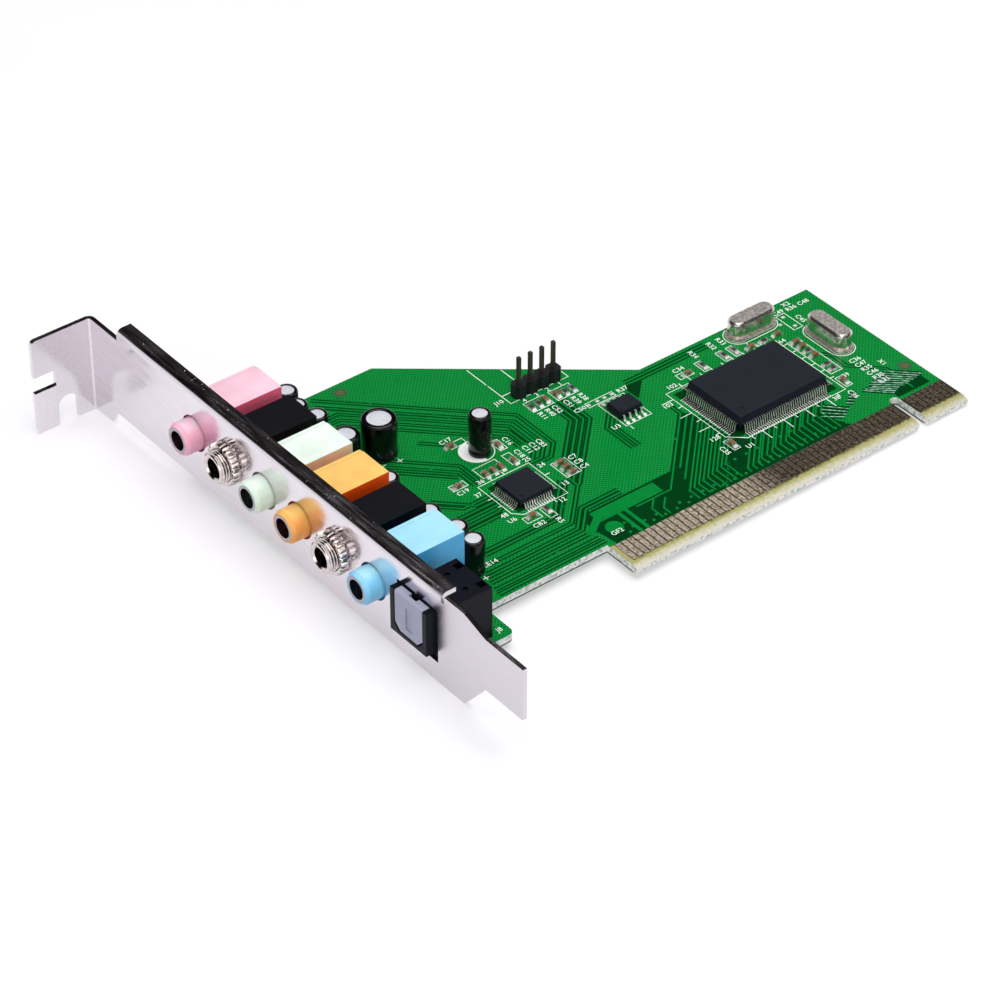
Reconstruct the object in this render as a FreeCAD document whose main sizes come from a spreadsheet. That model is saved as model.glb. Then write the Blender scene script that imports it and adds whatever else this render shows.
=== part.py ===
import FreeCAD, Part
import os
import re
import Sketcher
from FreeCAD import Rotation, Vector

# A PCI sound card lying component side up: a folded bracket with six jacks and an optical port
# stands at one end of a printed board, whose contacts for the slot run along one side.
# Card axes, in millimetres: X leads from the bracket's outer face along the board, Y from the tip
# of the bracket's tongue to its screw tab, and Z up from the board's component side.
# Every piece is drawn in these axes and then placed so that the origin is the middle of the
# card's footprint, level with the bracket's lowest edge.

SIZES = {
    # bracket, folded from one sheet
    "sheet_gauge": 0.86,
    "bracket_length": 120.02,
    "bracket_width": 18.42,
    "plate_drop": 3.0,
    "bend_radius": 0.45,
    "tab_reach": 11.9,
    "tab_drop": 6.16,
    "tab_width": 19.36,
    "tab_corner": 1.0,
    "head_length": 9.3,
    "hip_length": 5.8,
    "hip_slant": 1.6,
    "screw_slot_width": 4.0,
    "screw_slot_reach": 5.5,
    "screw_slot_depth": 5.6,
    "key_slot_width": 3.3,
    "key_slot_depth": 4.3,
    "key_slot_height": 10.1,
    "tongue_width": 10.19,
    "tongue_length": 9.2,
    "tongue_rise": 6.5,
    "shoulder_length": 14.6,
    "flange_width": 3.06,
    "flange_start": 20.5,
    "relief_width": 0.9,
    "relief_depth": 0.2,
    # printed board
    "board_gauge": 1.57,
    "board_left": 3.2,
    "board_margin": 3.7,
    "slope_start": 39.8,
    "slope_end": 76.2,
    "shelf_top": 62.5,
    "board_front": 28.4,
    "ear_right": 14.9,
    "ear_front": 20.5,
    "ear_corner": 1.2,
    # slot contacts
    "pin_one": 42.1,
    "pin_pitch": 1.27,
    "pins_before_key": 49,
    "pins_in_key": 2,
    "pins_after_key": 7,
    "finger_width": 1.02,
    "finger_length": 4.7,
    "finger_gauge": 0.05,
    "finger_inset": 0.8,
    "tongue_edge": 20.8,
    "tongue_margin": 0.95,
    "end_margin": 0.45,
    "edge_bevel": 1.2,
    "edge_land": 0.7,
    "key_width": 1.93,
    "key_depth": 8.2,
    # jacks
    "jack_first": 38.2,
    "jack_pitch": 10.0,
    "jack_height": 6.75,
    "jack_width": 8.0,
    "jack_back": 15.4,
    "plastic_jack_top": 11.8,
    "threaded_jack_top": 11.4,
    "jack_gap": 0.34,
    "lid_edge": 0.9,
    "lid_step": 0.2,
    "barrel_radius": 3.0,
    "barrel_reach": 3.4,
    "barrel_chamfer": 0.42,
    "barrel_chamfer_run": 0.7,
    "barrel_clearance": 0.4,
    "plug_radius": 1.8,
    "bore_depth": 14.0,
    "sleeve_wall": 0.5,
    "sleeve_length": 4.0,
    "bushing_radius": 2.95,
    "bushing_reach": 3.3,
    "bushing_seat": 2.8,
    "bushing_chamfer": 0.3,
    "metal_fit": 0.02,
    "nut_radius": 3.9,
    "nut_bevel": 0.35,
    "nut_gauge": 1.6,
    "nut_clearance": 0.05,
    "knurl_count": 24,
    "knurl_gap": 0.5,
    "knurl_depth": 0.4,
    # optical port
    "optical_middle": 26.55,
    "optical_width": 9.3,
    "optical_clearance": 0.6,
    "nose_reach": 1.9,
    "nose_floor": 2.7,
    "nose_top": 11.3,
    "nose_run": 4.2,
    "optical_top": 10.2,
    "optical_back": 11.4,
    "socket_width": 7.4,
    "socket_floor": 3.4,
    "socket_ceiling": 10.9,
    "socket_chamfer": 1.2,
    "socket_wall": 0.8,
    "socket_end": 8.3,
    "top_recess": 1.4,
    "top_dimple": 0.5,
    "hinge_depth": 0.85,
    "hinge_height": 10.5,
    "hinge_radius": 0.28,
    "hinge_seat": 0.5,
    "hinge_clearance": 0.07,
    "hinge_block": 0.75,
    "hinge_block_round": 0.3,
    "shutter_side_gap": 0.15,
    "shutter_foot_gap": 0.15,
    "shutter_notch": 2.0,
    "shutter_recess_width": 1.6,
    "shutter_recess_length": 4.4,
    "shutter_recess_depth": 0.25,
    "spring_length": 1.6,
    "spring_wire": 0.12,
    "spring_leg": 3.0,
    "emitter_width": 4.6,
    "emitter_gauge": 1.2,
    "lens_radius": 1.3,
    "lens_gauge": 0.5,
    # electrolytic capacitors
    "small_can_radius": 2.0,
    "small_can_height": 7.0,
    "long_can_height": 8.4,
    "large_can_radius": 2.5,
    "tall_can_radius": 3.15,
    "tall_can_height": 7.6,
    "can_rim": 0.3,
    "can_gap": 1.8,
    # integrated circuits
    "controller_across": 87.9,
    "controller_along": 44.8,
    "controller_length": 20.0,
    "controller_width": 14.0,
    "controller_height": 3.0,
    "codec_across": 38.95,
    "codec_along": 48.2,
    "codec_side": 7.0,
    "codec_height": 1.6,
    "memory_across": 66.65,
    "memory_along": 55.1,
    "memory_length": 4.9,
    "memory_width": 3.9,
    "memory_height": 1.65,
    "case_stand": 0.12,
    "case_draft": 12.0,
    "fine_pitch": 0.5,
    "fine_lead": 0.22,
    "wide_pitch": 1.27,
    "wide_lead": 0.42,
    "lead_gauge": 0.16,
    "fine_reach": 1.0,
    "controller_reach": 1.6,
    "wide_reach": 1.05,
    # pin header
    "header_first": 55.1,
    "header_along": 69.8,
    "header_pitch": 2.54,
    "header_pins": 4,
    "header_base": 2.54,
    "header_chamfer": 0.6,
    "header_post": 0.64,
    "header_top": 8.2,
    "post_point": 0.16,
    # crystals
    "crystal_length": 9.8,
    "crystal_width": 3.7,
    "crystal_height": 3.7,
    "crystal_bevel": 0.45,
    "crystal_flange": 0.45,
    "crystal_base": 0.5,
    "crystal_inset": 3.0,
    # chip resistors and capacitors
    "chip_length": 1.6,
    "chip_width": 0.8,
    "resistor_gauge": 0.45,
    "capacitor_gauge": 0.7,
    "chip_end": 0.35,
    "chip_pitch": 1.65,
    "chip_room": 1.0,
    # lead ends under the board
    "stub_length": 0.7,
    "stub_side": 0.55,
}

LAST_PIN = "(pin_one + (pins_before_key + pins_in_key + pins_after_key - 1) * pin_pitch)"
BOARD_RIGHT = f"({LAST_PIN} + finger_width / 2 + end_margin)"
TONGUE_LEFT = "(pin_one - finger_width / 2 - tongue_margin)"
KEY_MIDDLE = "(pin_one + (pins_before_key + (pins_in_key - 1) / 2) * pin_pitch)"
LAST_JACK = "(jack_first + 5 * jack_pitch)"
BOARD_TOP = f"({LAST_JACK} + board_margin)"
PLATE_TOP = "(bracket_width - plate_drop)"
JACK_FRONT = "(sheet_gauge + jack_gap)"
SLEEVE_RADIUS = "(plug_radius + sleeve_wall)"
HINGE_X = "(hinge_depth - nose_reach)"
SHUTTER_LENGTH = "(hinge_height - socket_floor - shutter_foot_gap)"
SHUTTER_WIDTH = "(socket_width - 2 * shutter_side_gap)"
SHUTTER_BACK = "(hinge_radius + hinge_clearance - metal_fit)"
ORIGIN = (f"({BOARD_RIGHT} - tab_reach) / 2", "bracket_length / 2", "-tab_drop")

doc = FreeCAD.newDocument("sound_card")
sheet = doc.addObject("Spreadsheet::Sheet", "Sizes")
for row, (alias, size) in enumerate(SIZES.items(), start=1):
    sheet.set(f"A{row}", alias)
    sheet.set(f"B{row}", str(size))
    sheet.setAlias(f"B{row}", alias)
doc.recompute()
sub_parts = []


def formula(text):
    """Point each size named in the text at its cell in the sheet."""
    return re.sub(r"[a-z_]+", lambda word: f"Sizes.{word[0]}" if word[0] in SIZES else word[0], text)


def number(text):
    """The value that a formula has now."""
    return float(sheet.evalExpression(formula(text)))


def place(piece, x="0", y="0", z="0"):
    """Bind a piece's position in the card's axes, counted from the part's origin."""
    for axis, offset, zero in zip("xyz", (x, y, z), ORIGIN):
        piece.setExpression(f"Placement.Base.{axis}", formula(f"({offset}) - ({zero})"))
    sub_parts.append(piece)


def new_body(label):
    body = doc.addObject("PartDesign::Body", label)
    body.Label = label
    return body


def new_sketch(body, plane, offset):
    """A sketch on one of the body's own planes, moved along the plane's normal."""
    sketch = body.newObject("Sketcher::SketchObject", "Sketch")
    support = next(item for item in body.Origin.OriginFeatures if item.Role == plane)
    sketch.AttachmentSupport = (support, [""])
    sketch.MapMode = "FlatFace"
    sketch.setExpression("AttachmentOffset.Base.z", formula(offset))
    return sketch


def outline(body, plane, corners, offset="0"):
    """A closed outline whose corners are pairs of formulas."""
    sketch = new_sketch(body, plane, offset)
    points = [Vector(number(u), number(v), 0) for u, v in corners]
    count = len(points)
    sketch.addGeometry([Part.LineSegment(points[i], points[(i + 1) % count]) for i in range(count)])
    rules = [Sketcher.Constraint("Coincident", i, 2, (i + 1) % count, 1) for i in range(count)]
    for i, point in enumerate(points):
        rules.append(Sketcher.Constraint("DistanceX", -1, 1, i, 1, point.x))
        rules.append(Sketcher.Constraint("DistanceY", -1, 1, i, 1, point.y))
    sketch.addConstraint(rules)
    for i, corner in enumerate(corners):
        for j, text in enumerate(corner):
            sketch.setExpression(f"Constraints[{count + 2 * i + j}]", formula(text))
    return sketch


def rectangle(body, plane, left, right, low, high, offset="0"):
    return outline(body, plane, [(left, low), (right, low), (right, high), (left, high)], offset)


def circles(body, plane, centres, radius, offset="0"):
    """Circles of one radius at centres that are pairs of formulas."""
    sketch = new_sketch(body, plane, offset)
    size = number(radius)
    for i, (u, v) in enumerate(centres):
        middle = Vector(number(u), number(v), 0)
        sketch.addGeometry(Part.Circle(middle, Vector(0, 0, 1), size))
        sketch.addConstraint([
            Sketcher.Constraint("Radius", i, size),
            Sketcher.Constraint("DistanceX", -1, 1, i, 3, middle.x),
            Sketcher.Constraint("DistanceY", -1, 1, i, 3, middle.y),
        ])
        for j, text in enumerate((radius, u, v)):
            sketch.setExpression(f"Constraints[{3 * i + j}]", formula(text))
    return sketch


def pad(body, sketch, length, reverse=False, draft=None):
    feature = body.newObject("PartDesign::Pad", "Pad")
    feature.Profile = sketch
    feature.Reversed = reverse
    feature.setExpression("Length", formula(length))
    if draft:
        feature.setExpression("TaperAngle", formula(draft))
    return feature


def pocket(body, sketch, length, reverse=False):
    feature = body.newObject("PartDesign::Pocket", "Pocket")
    feature.Profile = sketch
    feature.Reversed = reverse
    feature.setExpression("Length", formula(length))
    return feature


def turn(body, sketch, axis, kind="PartDesign::Revolution"):
    """Turn a profile about its sketch's own axis, to add metal or to cut a groove."""
    feature = body.newObject(kind, "Turning")
    feature.Profile = sketch
    feature.ReferenceAxis = (sketch, [axis])
    feature.Angle = 360
    return feature


def round_edges(body, radius, chosen):
    """Round the edges of the body so far that the test picks."""
    dress_edges(body, "PartDesign::Fillet", "Radius", radius, chosen)


def bevel_edges(body, size, chosen):
    """Bevel the edges of the body so far that the test picks."""
    dress_edges(body, "PartDesign::Chamfer", "Size", size, chosen)


def dress_edges(body, kind, measure, size, chosen):
    doc.recompute()
    base = body.Tip
    names = [f"Edge{i}" for i, edge in enumerate(base.Shape.Edges, start=1) if chosen(edge)]
    feature = body.newObject(kind, "Dressing")
    feature.Base = (base, names)
    feature.setExpression(measure, formula(size))


def on_line(edge, **levels):
    """Whether both ends of an edge lie at the given coordinates."""
    return all(
        abs(getattr(vertex.Point, axis) - number(level)) < 1e-4
        for vertex in edge.Vertexes
        for axis, level in levels.items()
    )


def group(label, solids):
    """Many like solids that share one node."""
    feature = doc.addObject("Part::Feature", label)
    feature.Label = label
    feature.Shape = Part.makeCompound(solids)
    place(feature)


def block(length, width, height, x, y, z):
    """A box centred on x and y, standing on z."""
    return Part.makeBox(length, width, height, Vector(x - length / 2, y - width / 2, z))


def make_bracket():
    """The folded sheet: plate, stiffening flange, screw tab and tongue in one piece."""
    body = new_body("bracket")
    tongue_low = "tongue_rise - plate_drop"
    tongue_high = "tongue_rise - plate_drop + tongue_width"
    head_start = "bracket_length - head_length"
    tab_high = "tab_width - tab_drop"
    outer_bend = "(bend_radius + sheet_gauge)"
    relief_low = f"{PLATE_TOP} - {outer_bend} - relief_depth"
    plate = outline(body, "YZ_Plane", [
        ("0", tongue_low),
        ("tongue_length", tongue_low),
        ("shoulder_length", "-plate_drop"),
        ("bracket_length - hip_length - hip_slant", "-plate_drop"),
        ("bracket_length - hip_length", "-tab_drop"),
        ("bracket_length", "-tab_drop"),
        ("bracket_length", tab_high),
        (head_start, tab_high),
        (head_start, PLATE_TOP),
        ("flange_start", PLATE_TOP),
        ("flange_start", relief_low),
        ("flange_start - relief_width", relief_low),
        ("flange_start - relief_width", PLATE_TOP),
        ("shoulder_length", PLATE_TOP),
        ("tongue_length", tongue_high),
        ("0", tongue_high),
    ])
    pad(body, plate, "sheet_gauge")
    slot_left = "-screw_slot_reach - screw_slot_width / 2"
    slot_right = "-screw_slot_reach + screw_slot_width / 2"
    slot_top = "screw_slot_depth - tab_drop - screw_slot_width / 2"
    key_low = "key_slot_height - key_slot_width / 2 - tab_drop"
    key_high = "key_slot_height + key_slot_width / 2 - tab_drop"
    tab = outline(body, "XZ_Plane", [
        ("sheet_gauge", "-tab_drop"),
        ("sheet_gauge", tab_high),
        ("-tab_reach", tab_high),
        ("-tab_reach", key_high),
        ("key_slot_depth - tab_reach", key_high),
        ("key_slot_depth - tab_reach", key_low),
        ("-tab_reach", key_low),
        ("-tab_reach", "-tab_drop"),
        (slot_left, "-tab_drop"),
        (slot_left, slot_top),
        (slot_right, slot_top),
        (slot_right, "-tab_drop"),
    ], "-bracket_length")
    pad(body, tab, "sheet_gauge")
    slot_end = circles(body, "XZ_Plane", [("-screw_slot_reach", slot_top)], "screw_slot_width / 2", "-bracket_length")
    pocket(body, slot_end, "sheet_gauge", reverse=True)
    flange = rectangle(body, "XY_Plane", "0", "flange_width", "flange_start",
                       head_start, f"{PLATE_TOP} - sheet_gauge")
    pad(body, flange, "sheet_gauge")
    jack_holes = [(f"jack_first + {i} * jack_pitch", "jack_height") for i in range(len(JACKS))]
    holes = circles(body, "YZ_Plane", jack_holes, "barrel_radius + barrel_clearance")
    pocket(body, holes, "sheet_gauge", reverse=True)
    half_window = "(optical_width / 2 + optical_clearance)"
    window = rectangle(body, "YZ_Plane", f"optical_middle - {half_window}", f"optical_middle + {half_window}",
                       "nose_floor - 3 * optical_clearance", "nose_top + optical_clearance / 4")
    pocket(body, window, "sheet_gauge", reverse=True)
    round_edges(body, outer_bend, lambda edge: on_line(edge, x="0", z=PLATE_TOP)
                and edge.Length > number("jack_pitch"))
    round_edges(body, "bend_radius", lambda edge: on_line(edge, x="sheet_gauge", z=f"{PLATE_TOP} - sheet_gauge"))
    round_edges(body, outer_bend, lambda edge: on_line(edge, x="sheet_gauge", y="bracket_length"))
    round_edges(body, "bend_radius", lambda edge: on_line(edge, x="0", y="bracket_length - sheet_gauge"))
    round_edges(body, "tab_corner", lambda edge: on_line(edge, x="-tab_reach", z=tab_high)
                or on_line(edge, x="-tab_reach", z="-tab_drop"))
    place(body)


def make_board():
    """The printed board: an ear under the optical port, a long slope and the bevelled slot tongue."""
    body = new_body("pcb")
    board = outline(body, "XY_Plane", [
        ("board_left", "ear_front"),
        ("ear_right", "ear_front"),
        ("ear_right", "board_front"),
        (BOARD_RIGHT, "board_front"),
        (BOARD_RIGHT, "shelf_top"),
        ("slope_end", "shelf_top"),
        ("slope_start", BOARD_TOP),
        ("board_left", BOARD_TOP),
    ])
    pad(body, board, "board_gauge", reverse=True)
    bevel_top = "(edge_land - board_gauge) / 2"
    bevel_low = "(-edge_land - board_gauge) / 2"
    tongue = outline(body, "YZ_Plane", [
        ("board_front", "0"),
        ("tongue_edge + edge_bevel", "0"),
        ("tongue_edge", bevel_top),
        ("tongue_edge", bevel_low),
        ("tongue_edge + edge_bevel", "-board_gauge"),
        ("board_front", "-board_gauge"),
    ], TONGUE_LEFT)
    pad(body, tongue, f"{BOARD_RIGHT} - {TONGUE_LEFT}")
    key_top = "tongue_edge + key_depth - key_width / 2"
    key = rectangle(body, "XY_Plane", f"{KEY_MIDDLE} - key_width / 2", f"{KEY_MIDDLE} + key_width / 2",
                    "tongue_edge - key_width", key_top)
    pocket(body, key, "board_gauge")
    key_end = circles(body, "XY_Plane", [(KEY_MIDDLE, key_top)], "key_width / 2")
    pocket(body, key_end, "board_gauge")
    round_edges(body, "ear_corner", lambda edge: on_line(edge, x="ear_right") and len(edge.Vertexes) == 2
                and abs(edge.tangentAt(edge.FirstParameter).z) > 0.9)
    place(body)


def make_edge_contacts():
    """The plated fingers on both faces of the slot tongue, skipping the key."""
    width = number("finger_width")
    length = number("finger_length")
    gauge = number("finger_gauge")
    middle = number("board_front - finger_inset") - length / 2
    before_key = int(number("pins_before_key"))
    after_key = before_key + int(number("pins_in_key"))
    total = after_key + int(number("pins_after_key"))
    fingers = []
    for pin in [*range(before_key), *range(after_key, total)]:
        x = number("pin_one") + pin * number("pin_pitch")
        for z in (0, number("-board_gauge - finger_gauge")):
            fingers.append(block(width, length, gauge, x, middle, z))
    group("edge_contacts", fingers)


# Jacks along the bracket, from the tongue to the tab
JACKS = ("blue", "lower", "orange", "green", "upper", "pink")
THREADED = ("lower", "upper")


def make_jack_case(body, top):
    """The closed block behind the bracket, with a lower strip where its lid is let in."""
    half = "jack_width / 2"
    crown = f"{top} - jack_height"
    front = rectangle(body, "YZ_Plane", f"-{half}", half, "-jack_height", crown, JACK_FRONT)
    pad(body, front, f"jack_back - {JACK_FRONT}")
    strip = rectangle(body, "XY_Plane", JACK_FRONT, "jack_back", f"{half} - lid_edge", half, crown)
    pocket(body, strip, "lid_step")


def make_plastic_jack(name, y):
    """A jack whose coloured barrel passes through the bracket around a short metal sleeve."""
    body = new_body(f"jack_body_{name}")
    make_jack_case(body, "plastic_jack_top")
    barrel = outline(body, "XZ_Plane", [
        ("-barrel_reach", "0"),
        (JACK_FRONT, "0"),
        (JACK_FRONT, "barrel_radius"),
        ("barrel_chamfer_run - barrel_reach", "barrel_radius"),
        ("-barrel_reach", "barrel_radius - barrel_chamfer"),
    ])
    turn(body, barrel, "H_Axis")
    bore = outline(body, "XZ_Plane", [
        ("-barrel_reach", "0"),
        ("bore_depth - barrel_reach", "0"),
        ("bore_depth - barrel_reach", "plug_radius"),
        ("sleeve_length - barrel_reach", "plug_radius"),
        ("sleeve_length - barrel_reach", f"{SLEEVE_RADIUS} + metal_fit"),
        ("-barrel_reach", f"{SLEEVE_RADIUS} + metal_fit"),
    ])
    turn(body, bore, "H_Axis", "PartDesign::Groove")
    place(body, "0", y, "jack_height")
    sleeve = new_body(f"jack_sleeve_{name}")
    ring = rectangle(sleeve, "XZ_Plane", "-barrel_reach", "sleeve_length - barrel_reach",
                     "plug_radius", SLEEVE_RADIUS)
    turn(sleeve, ring, "H_Axis")
    place(sleeve, "0", y, "jack_height")


def make_threaded_jack(name, y):
    """A black jack whose metal bushing passes through the bracket and takes a knurled nut."""
    body = new_body(f"jack_body_{name}")
    make_jack_case(body, "threaded_jack_top")
    bushing_end = f"({JACK_FRONT} + bushing_seat)"
    bore = outline(body, "XZ_Plane", [
        (JACK_FRONT, "0"),
        ("bore_depth - bushing_reach", "0"),
        ("bore_depth - bushing_reach", "plug_radius"),
        (bushing_end, "plug_radius"),
        (bushing_end, "bushing_radius + metal_fit"),
        (JACK_FRONT, "bushing_radius + metal_fit"),
    ])
    turn(body, bore, "H_Axis", "PartDesign::Groove")
    place(body, "0", y, "jack_height")
    bushing = new_body(f"jack_bushing_{name}")
    tube = outline(bushing, "XZ_Plane", [
        ("-bushing_reach", "plug_radius"),
        (bushing_end, "plug_radius"),
        (bushing_end, "bushing_radius"),
        ("bushing_chamfer - bushing_reach", "bushing_radius"),
        ("-bushing_reach", "bushing_radius - bushing_chamfer"),
    ])
    turn(bushing, tube, "H_Axis")
    place(bushing, "0", y, "jack_height")
    nut = new_body(f"bracket_nut_{name}")
    section = outline(nut, "XZ_Plane", [
        ("-nut_gauge", "bushing_radius + nut_clearance"),
        ("0", "bushing_radius + nut_clearance"),
        ("0", "nut_radius - nut_bevel"),
        ("-nut_bevel", "nut_radius"),
        ("-nut_gauge", "nut_radius"),
    ])
    turn(nut, section, "H_Axis")
    notch = rectangle(nut, "YZ_Plane", "-knurl_gap / 2", "knurl_gap / 2",
                      "nut_radius - knurl_depth", "nut_radius + knurl_depth")
    cut = pocket(nut, notch, "nut_gauge")
    knurl = nut.newObject("PartDesign::PolarPattern", "Knurl")
    knurl.Originals = [cut]
    knurl.Axis = (notch, ["N_Axis"])
    knurl.Angle = 360
    knurl.setExpression("Occurrences", formula("knurl_count"))
    nut.Tip = knurl
    place(nut, "0", y, "jack_height")


def make_jacks():
    for i, name in enumerate(JACKS):
        make = make_threaded_jack if name in THREADED else make_plastic_jack
        make(name, f"jack_first + {i} * jack_pitch")


def make_optical_housing():
    """The moulded case of the optical port: its nose is open over the hinge and its socket steps down."""
    body = new_body("optical_housing")
    half = "optical_width / 2"
    side = outline(body, "XZ_Plane", [
        ("-nose_reach", "nose_floor"),
        (JACK_FRONT, "nose_floor"),
        (JACK_FRONT, "0"),
        ("optical_back", "0"),
        ("optical_back", "optical_top"),
        ("nose_run", "optical_top"),
        ("nose_run", "nose_top"),
        ("-nose_reach", "nose_top"),
    ], f"-{half}")
    pad(body, side, "optical_width")
    edge = "socket_width / 2"
    for ceiling, depth in (
        ("nose_top + socket_wall", "hinge_depth + hinge_block + shutter_side_gap"),
        ("socket_ceiling", "nose_reach + nose_run - socket_wall"),
        ("optical_top - socket_wall", "nose_reach + socket_end"),
    ):
        mouth = outline(body, "YZ_Plane", [
            (f"-{edge}", "socket_floor + socket_chamfer"),
            (f"socket_chamfer - {edge}", "socket_floor"),
            (f"{edge} - socket_chamfer", "socket_floor"),
            (edge, "socket_floor + socket_chamfer"),
            (edge, ceiling),
            (f"-{edge}", ceiling),
        ], "-nose_reach")
        pocket(body, mouth, depth, reverse=True)
    seat = f"({edge} + hinge_seat)"
    holes = circles(body, "XZ_Plane", [(HINGE_X, "hinge_height")], "hinge_radius + metal_fit", f"-{seat}")
    pocket(body, holes, f"2 * {seat}", reverse=True)
    for side_sign in ("-", ""):
        inner = f"{side_sign}({half} - 1.7 * top_recess)"
        recess = rectangle(body, "XY_Plane", "optical_back - 1.15 * top_recess",
                           "optical_back - 0.15 * top_recess", inner, f"{inner} + {side_sign}top_recess", "optical_top")
        pocket(body, recess, "top_recess")
        dimple = circles(body, "XY_Plane", [("socket_end - top_dimple", f"{side_sign}{half} / 2")],
                         "top_dimple", "optical_top")
        pocket(body, dimple, "socket_wall / 2")
    place(body, "0", "optical_middle", "0")


def make_optical_shutter():
    """The flap that closes the socket: a plate under a square hinge block, notched for its spring."""
    body = new_body("optical_shutter")
    half = f"{SHUTTER_WIDTH} / 2"
    bevel = "(socket_chamfer + shutter_side_gap)"
    plate = outline(body, "YZ_Plane", [
        (f"-{half}", f"{bevel} - {SHUTTER_LENGTH}"),
        (f"{bevel} - {half}", f"-{SHUTTER_LENGTH}"),
        (f"{half} - {bevel}", f"-{SHUTTER_LENGTH}"),
        (half, f"{bevel} - {SHUTTER_LENGTH}"),
        (half, "0"),
        (f"-{half}", "0"),
    ], "-hinge_block")
    pad(body, plate, f"hinge_block + {SHUTTER_BACK}")
    block = outline(body, "XZ_Plane", [
        ("-hinge_block", "-hinge_block"),
        (SHUTTER_BACK, "-hinge_block"),
        ("hinge_block", "0"),
        ("hinge_block", "hinge_block"),
        ("-hinge_block", "hinge_block"),
    ], f"-{half}")
    pad(body, block, SHUTTER_WIDTH)
    round_edges(body, "hinge_block_round", lambda edge: on_line(edge, x="-hinge_block", z="hinge_block"))
    eye = circles(body, "XZ_Plane", [("0", "0")], "hinge_radius + hinge_clearance", f"-{half}")
    pocket(body, eye, SHUTTER_WIDTH, reverse=True)
    room = circles(body, "XZ_Plane", [("0", "0")], "hinge_radius + hinge_clearance + 1.5 * spring_wire",
                   "-shutter_notch / 2")
    pocket(body, room, "shutter_notch", reverse=True)
    notch = rectangle(body, "XZ_Plane", "hinge_clearance", "2 * hinge_block",
                      "-1.5 * hinge_block", "2 * hinge_block", "-shutter_notch / 2")
    pocket(body, notch, "shutter_notch", reverse=True)
    recess_low = f"(shutter_recess_length + {SHUTTER_LENGTH}) / 2"
    groove = rectangle(body, "YZ_Plane", "-shutter_recess_width / 2", "shutter_recess_width / 2",
                       f"-{recess_low}", f"shutter_recess_length - {recess_low}", "-hinge_block")
    pocket(body, groove, "shutter_recess_depth", reverse=True)
    place(body, HINGE_X, "optical_middle", "hinge_height")


def make_shutter_hinge():
    """The pin that the shutter swings on, and the torsion spring that closes it."""
    pin = new_body("shutter_pin")
    reach = "(socket_width / 2 + hinge_seat)"
    rod = circles(pin, "XZ_Plane", [("0", "0")], "hinge_radius", f"-{reach}")
    pad(pin, rod, f"2 * {reach}")
    place(pin, HINGE_X, "optical_middle", "hinge_height")
    spring = new_body("shutter_spring")
    inner = "(hinge_radius + hinge_clearance)"
    coil = rectangle(spring, "YZ_Plane", "-spring_length / 2", "spring_length / 2", inner, f"{inner} + spring_wire")
    turn(spring, coil, "H_Axis")
    leg = rectangle(spring, "XY_Plane", inner, f"{inner} + spring_wire",
                    "-spring_wire / 2", "spring_wire / 2", "-spring_leg")
    pad(spring, leg, "spring_leg")
    place(spring, HINGE_X, "optical_middle", "hinge_height")


def make_emitter():
    """The light source that faces the plug from the back of the socket."""
    body = new_body("optical_emitter")
    half = "emitter_width / 2"
    middle = "((socket_floor + optical_top - socket_wall) / 2)"
    case = rectangle(body, "YZ_Plane", f"-{half}", half, f"-{half}", half, "socket_end")
    pad(body, case, "emitter_gauge", reverse=True)
    lens = circles(body, "YZ_Plane", [("0", "0")], "lens_radius", "socket_end - emitter_gauge")
    pad(body, lens, "lens_gauge", reverse=True)
    place(body, "0", "optical_middle", middle)


# Electrolytic capacitors: across, along, radius and height, first the row behind the jacks
CAN_ROW = "(jack_back + can_gap + small_can_radius)"
SMALL_CAN = ("small_can_radius", "small_can_height")
CANS = (
    (CAN_ROW, "jack_first - 1.4", *SMALL_CAN),
    (CAN_ROW, "jack_first + 2.9", *SMALL_CAN),
    (f"{CAN_ROW} - 1.0", "jack_first + jack_pitch - 1.0", *SMALL_CAN),
    (f"{CAN_ROW} - 1.0", "jack_first + 2 * jack_pitch + 0.2", *SMALL_CAN),
    ("jack_back + can_gap + large_can_radius", "jack_first + 3 * jack_pitch + 3.9",
     "large_can_radius", "small_can_height"),
    (CAN_ROW, "jack_first + 4 * jack_pitch + 1.4", *SMALL_CAN),
    (f"{CAN_ROW} - 1.0", f"{LAST_JACK} - 4.2", *SMALL_CAN),
    (CAN_ROW, f"{LAST_JACK} + 0.1", *SMALL_CAN),
    ("jack_back + 1.5 * can_gap + 2 * large_can_radius + tall_can_radius",
     "jack_first + 3 * jack_pitch + 3.3", "tall_can_radius", "tall_can_height"),
    ("codec_across + 0.85", "codec_along + 13.0", "small_can_radius", "long_can_height"),
)


def make_capacitors():
    """Each capacitor is a sealed can: a drawn cup in a jacket that is shrunk over its rim."""
    for i, (x, y, radius, height) in enumerate(CANS, start=1):
        can = new_body(f"capacitor_{i}")
        section = outline(can, "XZ_Plane", [
            ("0", "0"),
            (radius, "0"),
            (radius, f"{height} - can_rim"),
            (f"{radius} - can_rim", height),
            ("0", height),
        ])
        turn(can, section, "V_Axis")
        place(can, x, y)


def make_case(label, length, width, height, x, y):
    """A moulded case that tapers away from its parting line, with a dimple at pin one."""
    body = new_body(label)
    parting = f"(({height} + case_stand) / 2)"
    half_length = f"({length}) / 2"
    half_width = f"({width}) / 2"
    for reverse in (False, True):
        rim = rectangle(body, "XY_Plane", f"-{half_length}", half_length, f"-{half_width}", half_width, parting)
        pad(body, rim, f"({height} - case_stand) / 2", reverse, "-case_draft")
    inset = f"({width}) * 0.14"
    mark = circles(body, "XY_Plane", [(f"{inset} - {half_length}", f"{inset} - {half_width}")],
                   f"({width}) * 0.04 + 0.1", height)
    pocket(body, mark, "lead_gauge / 2")
    place(body, x, y)


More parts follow.
